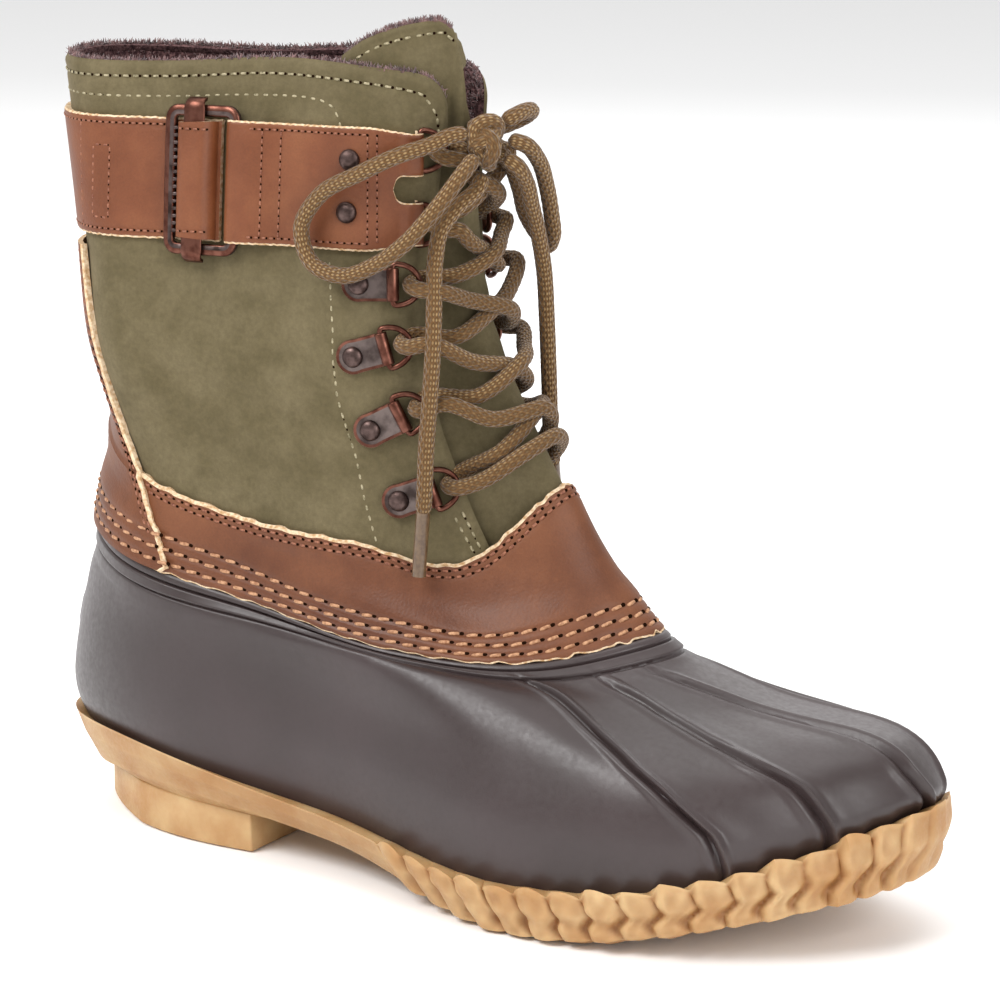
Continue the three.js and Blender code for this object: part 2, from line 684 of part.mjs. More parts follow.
function makeTongue() {
  const rows = Array.from({ length: 10 }, (_, i) => i / 9);
  const columns = Array.from({ length: 11 }, (_, i) => i / 10);
  const foot = tongueEdge[0].at;
  const under = -(overlay + shaftWall + 1.5 * layerGap);
  const middle = (at) => radians(
    THREE.MathUtils.lerp(180, 166, THREE.MathUtils.smoothstep(at, 7.9, 9)));
  const grid = (depth) => rows.map((row) => columns.map((share) => {
    const top = 9.05 + 0.63 * Math.sin((Math.PI / 2) * 1.1 * share)
      - 0.12 * THREE.MathUtils.smoothstep(share, 0.85, 1);
    const at = foot + (top - foot) * row;
    const outer = fromTable(tongueEdge, at, 'outer');
    const inner = fromTable(tongueEdge, at, 'inner');
    const angle = radians(outer + (inner - outer) * share);
    const throat = radians(fromTable(throatEdge, at, 'angle'));
    const gap = angle < middle(at) ? middle(at) - throat : 2 * Math.PI - throat - middle(at);
    const fromMiddle = Math.abs(angle - middle(at)) / Math.max(gap, 0.05);
    const crown = fromTable(tongueEdge, at, 'crown');
    const risen = 1 - THREE.MathUtils.smoothstep(fromMiddle, 0.15, 0.8);
    return skin(angle, at, under + (crown - under) * risen + depth);
  }));
  return wall(grid(0), grid(-tongueWall));
}

// A point on the strap's band: the angle is that of its middle line, and offsets run square to it
const strapOut = strapWidth / 2;
function strapPoint(angle, offset, depth) {
  const height = strapHeight + strapRiseForward * along(angle);
  const middle = lastPoint(angle, levelAtHeight(angle, height));
  let place = angle;
  let at = 0;
  for (let i = 0; i < 4; i += 1) {
    at = levelAtHeight(place, height + offset);
    const point = lastPoint(place, at);
    const ahead = lastPoint(place + 0.01, at).sub(lastPoint(place - 0.01, at)).setZ(0);
    const away = point.sub(middle).setZ(0).dot(ahead) / ahead.length();
    place -= (0.02 * away) / ahead.length();
  }
  return skin(place, at, depth);
}

// Where the buckle sits round the boot, in degrees
const buckle = { frameBack: 75, frameFront: 95, loopBack: 78.5, loopFront: 88.5, foldFront: 102 };
const forkEnd = 147;
const forkRoot = 141;
const forkOffsets = [-strapOut, -notchHeight / 2, 0, notchHeight / 2, strapOut];

// Front lugs of the strap, left open between them
function forkGrid(angles, depthOf) {
  return forkOffsets.map((offset, row) => angles.map((angle) => {
    const nearRoot = Math.abs(Math.abs(angle) - radians(forkRoot)) < 0.01 && row === 2;
    const place = nearRoot ? angle - radians(3) * Math.sign(angle) : angle;
    const taper = 1 - 0.08 * THREE.MathUtils.smoothstep(Math.abs(angle), radians(forkRoot), radians(forkEnd));
    return strapPoint(place, offset * taper, depthOf(Math.abs(angle)));
  }));
}
const openBetweenLugs = (isFork) => (row, column) => !((row === 1 || row === 2) && isFork(column));

// Strap from the inner side's lugs round the heel to the buckle's back bar and under its loop
function makeStrapWrap() {
  const angles = [...spread(-forkEnd, -forkRoot, 3), ...spread(-135, buckle.loopFront + 1, 28)];
  const grid = (lift) => forkGrid(angles, () => lift);
  return wall(grid(0), grid(-leatherWall), { keep: openBetweenLugs((column) => column < 2) });
}

// Front piece folded round the buckle's front bar, then flat on the shaft to its two lugs
function makeStrapFront() {
  const barSpan = [buckle.frameFront - 4, buckle.frameFront + 2];
  const angles = [
    ...spread(barSpan[0], barSpan[1], 4),
    ...spread(barSpan[1] + 1.6, 135, 8),
    ...spread(forkRoot, forkEnd, 3),
  ];
  const over = frameThick + 2 * clearance;
  const lying = (angle) => THREE.MathUtils.smoothstep(angle, radians(barSpan[1]), radians(barSpan[1] + 1.6));
  const innerDepth = (angle) => THREE.MathUtils.lerp(over, -leatherWall, lying(angle));
  const outerDepth = (angle) => {
    const round = THREE.MathUtils.smoothstep(angle, radians(barSpan[0] - 3), radians(barSpan[0] + 2));
    const settle = THREE.MathUtils.smoothstep(angle, radians(barSpan[1]), radians(buckle.foldFront + 6));
    return THREE.MathUtils.lerp(over + leatherWall * (0.6 + 0.4 * round), 0, settle);
  };
  const forkFrom = angles.length - 3;
  return wall(forkGrid(angles, outerDepth), forkGrid(angles, innerDepth), {
    keep: openBetweenLugs((column) => column >= forkFrom),
  });
}

// Buckle frame: a flat rectangle with a wide bar behind, bent to the boot's side
function makeFrame() {
  const rowsAt = [-frameLong / 2, -frameLong / 2 + frameBar, 0, frameLong / 2 - frameBar, frameLong / 2];
  const perDegree = frameWide / (buckle.frameFront - buckle.frameBack);
  const barAngle = frameBar / perDegree;
  const angles = [buckle.frameBack, buckle.frameBack + barAngle * 1.1, (buckle.frameBack + buckle.frameFront) / 2,
    buckle.frameFront - barAngle * 0.8, buckle.frameFront].map(radians);
  const grid = (depth) => rowsAt.map((offset, row) => angles.map((angle, column) => {
    const corner = (row === 0 || row === 4) && (column === 0 || column === 4);
    const pull = corner ? 1 : 0;
    const place = angle + radians(1.2) * pull * (column === 0 ? 1 : -1);
    return strapPoint(place, offset - Math.sign(offset) * pull, depth);
  }));
  const keep = (row, column) => row === 0 || row === 3 || column === 0 || column === 3;
  return wall(grid(clearance + frameThick), grid(clearance), { keep });
}

// Slider: a flat bar over the frame's two rails, clasped round each of them
function makeSlider() {
  const middle = (buckle.loopBack + buckle.loopFront) / 2;
  const perDegree = frameWide / (buckle.frameFront - buckle.frameBack);
  const reach = sliderWide / 2 / perDegree;
  const angles = [middle - reach, middle + reach].map(radians);
  const edge = frameLong / 2 + clearance;
  const inside = frameLong / 2 - frameBar;
  const end = edge + 2;
  const offsets = [-end, -edge, -edge + 0.1, -inside, 0, inside, edge - 0.1, edge, end];
  const lowDepth = clearance;
  const highDepth = frameThick + 2 * clearance;
  const grid = (depthOf) => offsets.map((offset) => angles.map((angle) => (
    strapPoint(angle, offset, depthOf(offset)))));
  return wall(
    grid(() => highDepth + sliderThick),
    grid((offset) => (Math.abs(offset) >= edge ? lowDepth : highDepth)),
  );
}

// Leather loop that arches over the slider
function makeStrapLoop() {
  const angles = spread(buckle.loopBack, buckle.loopFront, 7);
  const base = frameThick + sliderThick + 4 * clearance;
  const offsets = [-strapOut + 1, 0, strapOut - 1];
  const arch = (column) => base * Math.sin((Math.PI * (column + 0.6)) / 7.2) ** 0.35;
  const grid = (lift) => offsets.map((offset) => angles.map((angle, column) => (
    strapPoint(angle, offset, Math.max(arch(column), clearance) + lift))));
  return wall(grid(leatherWall), grid(0));
}

// Four riveted ring clips a side, bottom to top, and the two rings at the strap's lugs.
// The angle is the rivet's, in degrees, turn tips the clip's front end up, and lift is off the shaft.
const clipRows = [
  { at: 6.33, angle: 124, turn: 0, lift: 0.9 },
  { at: 6.65, angle: 122.5, turn: 10, lift: 0.3 },
  { at: 7.03, angle: 123.5, turn: 3, lift: 0.3 },
  { at: 7.57, angle: 129, turn: -4, lift: 0.3 },
];
const ringOffsets = [-10.1, 11.1];  // the lugs' rings below and above the strap's middle line
const strapLevel = (angle, offset) => (
  levelAtHeight(angle, strapHeight + strapRiseForward * along(angle) + offset));
const strapRivets = [
  { offset: -6.7, angle: 126.5 },
  { offset: 8.2, angle: 127 },
];

// A flat frame on the last: x forward, y up, z out
function seatFrame(angle, at, depth, turn = 0, mirror = 1) {
  const { up, out } = lastDirections(angle * mirror, at);
  const forward = up.clone().cross(out).normalize().multiplyScalar(mirror);
  const upright = out.clone().cross(forward).normalize().multiplyScalar(mirror);
  const matrix = new THREE.Matrix4().makeBasis(forward, upright.multiplyScalar(mirror), out.clone());
  matrix.setPosition(skin(angle * mirror, at, depth));
  return matrix.multiply(new THREE.Matrix4().makeRotationZ(radians(turn)));
}

function placed(geometry, matrix) {
  const result = geometry.clone().applyMatrix4(matrix);
  if (matrix.determinant() < 0) {
    const index = result.index ?? { count: 0 };
    for (let i = 0; i < index.count; i += 3) {
      const a = index.getX(i);
      index.setX(i, index.getX(i + 2));
      index.setX(i + 2, a);
    }
  }
  return result;
}

// Clip: a rivet plate rounded at the back, with the hinge tube along its front edge
function clipShape() {
  const plate = new THREE.Shape();
  const radius = clipHeight / 2;
  const front = clipReach - tubeRadius * 0.6;
  plate.moveTo(front, -radius);
  plate.lineTo(front, radius);
  plate.lineTo(0, radius);
  plate.absarc(0, 0, radius, Math.PI / 2, 1.5 * Math.PI, false);
  const flat = new THREE.ExtrudeGeometry(plate, { depth: clipThick, bevelEnabled: false, curveSegments: 5 });
  const bore = wireRadius + clearance;
  const halfTube = ringHeight / 2 - 2 * wireRadius - clearance;
  const tube = new THREE.LatheGeometry([
    new THREE.Vector2(bore, -halfTube),
    new THREE.Vector2(tubeRadius, -halfTube),
    new THREE.Vector2(tubeRadius, halfTube),
    new THREE.Vector2(bore, halfTube),
    new THREE.Vector2(bore, -halfTube),
  ], 6);
  tube.translate(clipReach, 0, tubeRadius);
  return toSolid(flat).add(toSolid(tube));
}

// D-shaped wire ring whose straight side is the hinge
function ringPoints() {
  const side = ringHeight / 2 - wireRadius;
  const arc = Array.from({ length: 6 }, (_, i) => {
    const turn = -Math.PI / 2 + (Math.PI * i) / 5;
    return new THREE.Vector3((ringReach - wireRadius) * Math.cos(turn), side * Math.sin(turn), 0);
  });
  return [...arc, new THREE.Vector3(0, 0, 0)];
}

function rivetShape(radius, rise) {
  const profile = [[0, 0], [radius, 0], [radius * 0.7, rise * 0.8], [0, rise]];
  const dome = new THREE.LatheGeometry(profile.map(([x, y]) => new THREE.Vector2(x, y)), 7);
  return dome.rotateX(Math.PI / 2);
}

const sides = [{ mark: 'outer', mirror: 1 }, { mark: 'inner', mirror: -1 }];
const ringTilt = radians(14);
const flatPoints = ringPoints();
const lugRingTilt = radians(5);
const ringWire = wireLoop(flatPoints, wireRadius, new THREE.Vector3(0, 0, 1), 5);

function addHardware() {
  const clip = fromSolid(clipShape());
  const rivet = rivetShape(rivetRadius, rivetRise);
  sides.forEach(({ mark, mirror }) => {
    clipRows.forEach(({ at, angle, turn, lift }, i) => {
      const frame = seatFrame(radians(angle), at, lift - overlay, turn, mirror);
      add(`ring_clip_${mark}_${i + 1}`, placed(clip, frame), steel);
      const onPlate = frame.clone().multiply(new THREE.Matrix4().makeTranslation(0, 0, clipThick + clearance / 3));
      add(`clip_rivet_${mark}_${i + 1}`, placed(rivet, onPlate), steel);
      const hinge = new THREE.Matrix4().makeTranslation(clipReach, 0, tubeRadius)
        .multiply(new THREE.Matrix4().makeRotationY(ringTilt));
      add(`lace_ring_${mark}_${i + 1}`, placed(ringWire, frame.clone().multiply(hinge)), copper);
    });
    ringOffsets.forEach((offset, i) => {
      const place = radians(forkEnd);
      const frame = seatFrame(place, strapLevel(place, offset), -leatherWall / 3, 0, mirror);
      const hinge = new THREE.Matrix4().makeTranslation(wireRadius + 2 * clearance, 0, 0)
        .multiply(new THREE.Matrix4().makeRotationY(lugRingTilt));
      add(`lace_ring_${mark}_${clipRows.length + i + 1}`, placed(ringWire, frame.clone().multiply(hinge)), copper);
    });
  });
  strapRivets.forEach(({ offset, angle }, i) => {
    const place = radians(angle);
    const frame = seatFrame(place, strapLevel(place, offset), clearance / 2);
    add(`strap_rivet_outer_${i + 1}`, placed(rivet, frame), steel);
  });
}

// Laces. Where the crossings turn beside each pair of rings, as angle and level
const laceTurns = [
  { at: 6.37, angle: 145.5 },
  { at: 6.66, angle: 147 },
  { at: 7.02, angle: 149 },
  { at: 7.5, angle: 156.5 },
  ...[-10.2, 9.3].map((offset) => ({ at: strapLevel(radians(162.5), offset), angle: 162.5 })),
];
const laceLift = 2.1;        // middle of a crossing above the leather's level

function laceTube(points, sides = 8) {
  const curve = new THREE.CatmullRomCurve3(points);
  const round = new THREE.Shape(Array.from({ length: sides }, (_, i) => {
    const turn = (i / sides) * 2 * Math.PI;
    return new THREE.Vector2(Math.cos(turn), Math.sin(turn)).multiplyScalar(laceDiameter / 2);
  }));
  const steps = Math.max(2, Math.round(curve.getLength() / laceStep));
  return toSolid(new THREE.ExtrudeGeometry(round, {
    steps, extrudePath: curve, bevelEnabled: false,
  }));
}

// A strand over the tongue from one side's turn to the other's
function strand(from, to) {
  return [0, 0.25, 0.5, 0.75, 1].map((share) => {
    const angle = THREE.MathUtils.lerp(radians(from.angle), 2 * Math.PI - radians(to.angle), share);
    return skin(angle, THREE.MathUtils.lerp(from.at, to.at, share), laceLift);
  });
}

function makeCrossings() {
  const flip = (point) => new THREE.Vector3(point.x, -point.y, point.z);
  const path = [];
  for (let i = 0; i < laceTurns.length - 1; i += 1) {
    const points = strand(laceTurns[i], laceTurns[i + 1]);
    path.push(...(i % 2 ? points.map(flip) : points).slice(i ? 1 : 0));
  }
  const mirrored = path.map(flip);
  const bar = strand(laceTurns[0], laceTurns[0]);
  const topTurn = [path, mirrored].map((points) => points[points.length - 1]).find((point) => point.y < 0);
  return fromSolid([mirrored, bar, [topTurn, knotTurn]]
    .reduce((solid, points) => solid.add(laceTube(points, 6)), laceTube(path, 6)));
}

// The free parts of the lace, from the knot outwards, drawn with the tongue's middle at laceHome.
// They move with the tongue when the boot's sizes change.
const laceHome = new THREE.Vector3(144.178, -8.277, 212.059);
const laceShift = lastPoint(radians(166), 8.5).sub(laceHome);
const laceRoutes = {
  lace_loop_left: [
    [148.8, -12.6, 217.4], [146.4, -16, 217.3], [141.5, -21.5, 214.6], [135, -27, 212], [124.4, -31, 206.6],
    [112.1, -33, 199.6], [106.6, -34, 190.4], [110.1, -34.5, 180.8], [120.5, -33.8, 177.6], [130, -32, 181.2],
    [138.5, -30, 187.5], [146, -26, 197], [151, -20, 206.5], [151.8, -13.4, 211.4],
  ],
  lace_loop_right: [
    [156.7, -4.1, 215.4], [160, -1.5, 214.4], [160.6, 6, 209.2], [159, 13.5, 201], [156.8, 20, 191.6],
    [154, 25, 183.6], [149.5, 25.5, 182.5], [148.6, 20.5, 189], [150.2, 14, 198.5], [150.8, 7, 207],
    [150.7, 2.4, 210.2], [151.1, -1.4, 211.5],
  ],
  lace_loop_small: [
    [154.3, -2.9, 220], [156, 0.4, 221.6], [156.6, 5.4, 222.6], [155.4, 11, 222], [151.5, 13.4, 219.8],
    [147.6, 9.6, 217.6], [146.4, 3.5, 216.8], [148.3, -2.4, 216.4],
  ],
  lace_end_left: [
    [151.8, -9.2, 206.3], [151.2, -11, 202.4], [148.2, -16.5, 197.6], [144.8, -20.4, 191], [143.6, -21.6, 182.5],
    [144.2, -23.1, 171.3], [145.2, -25.4, 157.5], [145.3, -27.3, 142.8], [144.7, -28.2, 129.2],
    [144, -28.1, 115.2], [142.6, -27.6, 101.9], [142.2, -28.2, 92.4],
  ],
  lace_end_right: [
    [156.9, -6.7, 210.8], [159.6, -5.2, 209], [160, 0.5, 203.4], [158.6, 6, 196], [157.4, 12, 186.6],
    [156.4, 17, 175.5], [155.7, 20, 160.3], [155.4, 22, 142.2], [154.1, 25.5, 123.6], [153, 29.5, 110],
    [152, 32, 98],
  ],
};
const knotPlace = new THREE.Vector3(151.8, -7.4, 214.9).add(laceShift);
const knotRadii = [5.4, 6.2, 8.6];
const knotTurn = new THREE.Vector3(145.8, -10.5, 212.9).add(laceShift);  // the top crossing's end

function addLaces() {
  add('lace_crossings', makeCrossings(), lace);
  const knot = new THREE.SphereGeometry(1, 8, 6).rotateX(Math.PI / 2).scale(...knotRadii);
  add('lace_knot', fromSolid(toSolid(knot.translate(...knotPlace.toArray()))), lace);
  Object.entries(laceRoutes).forEach(([name, route]) => {
    const points = route.map((point) => new THREE.Vector3(...point).add(laceShift));
    add(name, fromSolid(laceTube(points)), lace);
  });
}

add('outsole', makeOutsole(), gum);
add('heel_block', makeHeelBlock(), gum);
add('insole', makeInsole(), fleece);
add('rubber_shell', makeShell(), rubber);
add('leather_panel', makePanel(), leather);
add('backstay', makeBackstay(), leather);
add('shaft', makeShaft(), nubuck);
add('tongue', makeTongue(), nubuck);
add('strap_wrap', makeStrapWrap(), leather);
add('strap_front', makeStrapFront(), leather);
add('strap_loop', makeStrapLoop(), leather);
add('buckle_frame', makeFrame(), steel);
add('buckle_slider', makeSlider(), copper);
addHardware();
addLaces();

export default boot;
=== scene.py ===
# A lace-up duck boot for the right foot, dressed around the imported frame. Millimetres in the
# tables, metres in the scene. Angles go round the boot from the heel's back by the outer side.
import math

import bpy
import numpy as np
from mathutils import Matrix, Vector


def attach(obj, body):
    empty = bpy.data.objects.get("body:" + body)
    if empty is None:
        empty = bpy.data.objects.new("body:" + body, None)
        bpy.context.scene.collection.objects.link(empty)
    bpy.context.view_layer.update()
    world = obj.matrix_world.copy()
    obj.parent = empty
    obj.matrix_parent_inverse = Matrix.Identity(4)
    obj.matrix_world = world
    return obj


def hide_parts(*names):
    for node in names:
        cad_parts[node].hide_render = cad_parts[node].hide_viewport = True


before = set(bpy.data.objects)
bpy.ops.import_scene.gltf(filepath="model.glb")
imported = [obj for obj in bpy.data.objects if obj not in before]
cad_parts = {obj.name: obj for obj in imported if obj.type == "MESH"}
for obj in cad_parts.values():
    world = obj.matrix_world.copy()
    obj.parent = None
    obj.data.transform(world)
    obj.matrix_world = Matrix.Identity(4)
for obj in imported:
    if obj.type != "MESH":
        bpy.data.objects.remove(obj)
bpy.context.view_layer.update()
bpy.ops.object.select_all(action="DESELECT")
rad = math.radians

# ---- camera, floor and light
view = {
    "place": (0.62599, -0.85946, 0.33995), "turn": (77.119, -0.2167, 31.2919),
    "lens": 128.14, "sensor": 36,
}
bpy.ops.object.camera_add(location=view["place"], rotation=[rad(a) for a in view["turn"]])
camera = bpy.context.active_object
camera.name = "camera"
camera.data.lens = view["lens"]
camera.data.sensor_width = view["sensor"]
bpy.context.scene.camera = camera
bpy.context.scene.view_settings.view_transform = "Standard"


def linear(code, alpha=1.0):  # sRGB hex to linear
    parts = [int(code[i:i + 2], 16) / 255 for i in (1, 3, 5)]
    return [p / 12.92 if p <= 0.04045 else ((p + 0.055) / 1.055) ** 2.4 for p in parts] + [alpha]


def addNode(tree, kind, links=None, **settings):  # one node with its settings, values and links
    item = tree.nodes.new("ShaderNode" + kind)
    for name, value in settings.items():
        setattr(item, name, value)
    for key, value in (links or {}).items():
        if isinstance(value, bpy.types.Node):
            value = value.outputs[2 if value.bl_idname == "ShaderNodeMix" else 0]
        if isinstance(value, bpy.types.NodeSocket):
            tree.links.new(value, item.inputs[key])
        else:
            item.inputs[key].default_value = value
    return item


def newMaterial(name, colour, roughness, **sockets):
    material = bpy.data.materials.new(name)
    material.use_nodes = True
    tree = material.node_tree
    shader = tree.nodes["Principled BSDF"]
    shader.inputs["Base Color"].default_value = linear(colour)
    shader.inputs["Roughness"].default_value = roughness
    for key, value in sockets.items():
        shader.inputs[key.replace("_", " ")].default_value = value
    place = addNode(tree, "TexCoord")
    return material, tree, shader, place.outputs["Object"]


def perMetre(size):  # a pattern of this many millimetres, as a texture's scale
    return 1000 / size


world = bpy.data.worlds.new("studio")
bpy.context.scene.world = world
world.use_nodes = True
world.node_tree.nodes["Background"].inputs[0].default_value = (1, 1, 1, 1)
world.node_tree.nodes["Background"].inputs[1].default_value = 1.0
sky = addNode(world.node_tree, "TexCoord")
heading = addNode(world.node_tree, "VectorMath", {0: sky.outputs["Generated"], 1: (-0.52, 0.85, 0)},
                  operation="DOT_PRODUCT")
ahead = addNode(world.node_tree, "MapRange", {0: heading.outputs["Value"], 1: -0.25, 2: 0.55, 3: 0.5, 4: 1})
world.node_tree.links.new(ahead.outputs[0], world.node_tree.nodes["Background"].inputs[0])

lamps = {  # name: place, aimed at, width, height, watts
    "keyLight": ((-0.5, -1.3, 1.5), (0.08, 0, 0.1), 1.3, 0.9, 33),
    "sideLight": ((1.6, -0.6, 0.75), (0.1, 0, 0.08), 0.9, 1.2, 15),
    "topLight": ((0.1, 0.25, 1.7), (0.1, 0, 0.1), 1.2, 1.2, 9),
    "backLight": ((-0.5, 1.4, 1.0), (0.1, 0, 0.1), 1.4, 0.9, 5),
}
for name, (place, aim, wide, high, watts) in lamps.items():
    bpy.ops.object.light_add(type="AREA", location=place)
    lamp = bpy.context.active_object
    lamp.name = name
    lamp.data.shape = "RECTANGLE"
    lamp.data.size, lamp.data.size_y, lamp.data.energy = wide, high, watts
    lamp.rotation_euler = (Vector(aim) - Vector(place)).to_track_quat("-Z", "Y").to_euler()

bpy.ops.mesh.primitive_plane_add(size=40, location=(0, 0, -0.0004))
floor = bpy.context.active_object
floor.name = "studioFloor"
floorPaint, tree, shader, place = newMaterial("paleStudioPaper", "#ffffff", 0.9)
floor.data.materials.append(floorPaint)
print("studio ready")

# ---- the last: the same sections as the solids, in millimetres from the rim's heel back
last = {
    "length": 290, "half": 47, "seat": 25, "heelMiddle": 47.5,
    "stations": np.array([0, 0.12, 0.38, 0.65, 0.88, 1]),
    "seatShares": (1, 0.96, 0.68, 0.4, 0.72, 1.12),
    "treadShares": (0.56, 0.535, 0.38, -0.06, 0.37, 0.7),
    "sections": [  # back, front, outer, inner, toe's swing, on the seat, height, rise
        (0.031, 0.962, (0.64, 0.68, 1, 0.77), (0.64, 0.6, 0.85, 0.72), 0.15, 1, 70, (0, 0, 0, 0, 0, 0)),
        (0.017, 0.979, (0.68, 0.74, 1.085, 0.83), (0.68, 0.62, 0.89, 0.77), 0.17, 1, 70,
         (0.04, 0.06, 0.03, 0.06, 0.085, 0.115)),
        (0.003, 0.99, (0.72, 0.79, 1.105, 0.85), (0.72, 0.66, 0.915, 0.79), 0.17, 1, 70,
         (0.24, 0.24, 0.27, 0.31, 0.27, 0.23)),
        (0.024, 0.948, (0.7, 0.745, 0.98, 0.79), (0.7, 0.68, 0.85, 0.7), 0.15, 1, 70,
         (0.69, 0.61, 0.59, 0.57, 0.47, 0.4)),
        (0.038, 0.807, (0.68, 0.77, 0.81, 0.55), (0.68, 0.72, 0.72, 0.51), 0.13, 1, 70,
         (0.84, 0.77, 0.76, 0.8, 0.63, 0.49)),
        (0.048, 0.697, (0.66, 0.72, 0.7, 0.47), (0.64, 0.7, 0.66, 0.43), 0.085, 1, 70,
         (1, 0.93, 0.89, 0.87, 0.76, 0.7)),
        (0.067, 0.6, (0.62, 0.7, 0.64, 0.36), (0.6, 0.68, 0.64, 0.38), 0.02, 1, 101,
         (1, 0.91, 0.86, 0.89, 0.79, 0.89)),
        (0.052, 0.522, (0.735, 0.775, 0.69, 0.51), (0.735, 0.775, 0.69, 0.51), 0, 0, 233,
         (0.65, 0.648, 0.648, 0.65, 0.658, 0.67)),
        (0.038, 0.5, (0.72, 0.735, 0.63, 0.5), (0.73, 0.745, 0.64, 0.5), 0, 0, 233, (0.816,) * 6),
        (0.009, 0.512, (0.66, 0.66, 0.55, 0.47), (0.56, 0.58, 0.49, 0.4), 0, 0, 233,
         (1, 1.002, 1.006, 1.017, 1.007, 0.996)),
        (0, 0.517, (0.66, 0.66, 0.55, 0.47), (0.56, 0.58, 0.49, 0.4), 0, 0, 233, (1.09,) * 6),
    ],
}
rimLow = (0.032, 0.989, (0.66, 0.745, 1.13, 0.85), (0.7, 0.62, 0.915, 0.79), 0.1, 0, 25,
          (0.56, 0.7, 0.4, 0.03, 0.46, 0.79))
rimTop = (0.003, 1, (0.725, 0.85, 1.19, 0.87), (0.745, 0.66, 0.94, 0.79), 0.18, 0, 25,
          (1.18, 1.24, 0.79, 0.56, 1.04, 1.56))
topLevel = len(last["sections"]) - 1


def smooth(values, t):  # a smooth curve through one value for each station
    values = np.asarray(values, float)
    gaps = np.diff(last["stations"])
    rises = np.diff(values) / gaps
    inner = (gaps[:-1] * rises[1:] + gaps[1:] * rises[:-1]) / (gaps[:-1] + gaps[1:])
    slopes = np.concatenate(([rises[0]], inner, [rises[-1]]))
    i = np.clip(np.searchsorted(last["stations"], t, side="left") - 1, 0, 4)
    s = (t - last["stations"][i]) / gaps[i]
    fromStart = (2 * s - 3) * s * s + 1
    return (fromStart * values[i] + (1 - fromStart) * values[i + 1]
            + gaps[i] * (((s - 2) * s + 1) * s * slopes[i] + (s - 1) * s * s * slopes[i + 1]))


def along(angle):
    return (1 - np.cos(angle)) / 2


def seatAt(t):
    return last["seat"] * smooth(last["seatShares"], t)


def treadAt(t):
    return np.maximum(0, last["seat"] * smooth(last["treadShares"], t))


def sectionPoint(section, angle):
    back, front, outer, inner, tip, onSeat, height, rise = section
    t = along(angle)
    roundness = np.sqrt(4 * last["stations"][1:5] * (1 - last["stations"][1:5]))
    widths = (np.array(outer) + inner) / 2 * last["half"] / roundness
    middles = (np.array(inner) - outer) / 2 * last["half"]
    x = last["length"] * (back + (front - back) * t)
    y = (smooth([0, *middles, tip * last["half"]], t)
         - smooth([widths[0], *widths, widths[3]], t) * np.sin(angle))
    z = (seatAt(t) if onSeat else 0) + height * smooth(rise, t)
    return np.stack([x, y, z], -1)


def lastPoint(angle, level):
    angle, level = (a.ravel() for a in np.broadcast_arrays(np.asarray(angle, float), level))
    rings = np.array([sectionPoint(section, angle) for section in last["sections"]])
    k = np.clip(np.floor(level).astype(int), 0, topLevel - 1)
    s = (level - k)[:, None]
    pick = np.arange(angle.size)
    below, low, high, above = (rings[np.clip(k + i, 0, topLevel), pick] for i in (-1, 0, 1, 2))
    leave = np.where((k > 0)[:, None], (high - below) / 2, high - low)
    arrive = np.where((k < topLevel - 1)[:, None], (above - low) / 2, high - low)
    fromLow = (2 * s - 3) * s * s + 1
    return (fromLow * low + (1 - fromLow) * high
            + ((s - 2) * s + 1) * s * leave + (s - 1) * s * s * arrive)


def unit(vectors):
    return vectors / (np.linalg.norm(vectors, axis=-1, keepdims=True) + 1e-12)


def directions(angle, level):  # forward round the boot, up, and out of its surface
    step = 0.01
    forward = lastPoint(angle + step, level) - lastPoint(angle - step, level)
    low, high = np.maximum(level - step, 0), np.minimum(level + step, topLevel)
    up = lastPoint(angle, high) - lastPoint(angle, low)
    return unit(forward), unit(up), unit(np.cross(forward, up))


def skin(angle, level, depth=0.0):  # a point this far off the last, outwards when positive
    angle, level, depth = (a.ravel() for a in np.broadcast_arrays(
        np.asarray(angle, float), np.asarray(level, float), np.asarray(depth, float)))
    return lastPoint(angle, level) + directions(angle, level)[2] * depth[:, None]


def levelAtHeight(angle, height):
    angle, height = (a.ravel() for a in np.broadcast_arrays(np.asarray(angle, float), height))
    low, high = np.full(angle.size, 5.0), np.full(angle.size, float(topLevel))
    for _ in range(18):
        middle = (low + high) / 2
        under = lastPoint(angle, middle)[:, 2] < height
        low, high = np.where(under, middle, low), np.where(under, high, middle)
    return (low + high) / 2


def smoothStep(value, start, end):
    s = np.clip((np.asarray(value, float) - start) / (end - start), 0, 1)
    return s * s * (3 - 2 * s)


def toFrame(points):  # millimetres from the heel's back to the frame's metres
    return (np.asarray(points, float) - [last["heelMiddle"], 0, 0]) / 1000


def drift(points, size, seed):  # soft unevenness of about this size, between -1 and 1
    draw = np.random.default_rng(seed)
    total = np.zeros(len(points))
    for _ in range(9):
        heading = unit(draw.normal(size=3))
        total += np.sin(points @ heading * (2 * np.pi / size) * draw.uniform(0.6, 1.7)
                        + draw.uniform(0, 2 * np.pi))
    return total / 4.5


# ---- how pieces are made
def clearSelection():
    if bpy.context.object and bpy.context.object.mode != "OBJECT":
        bpy.ops.object.mode_set(mode="OBJECT")
    bpy.ops.object.select_all(action="DESELECT")


def choose(piece):
    clearSelection()
    piece.select_set(True)
    bpy.context.view_layer.objects.active = piece
    return piece


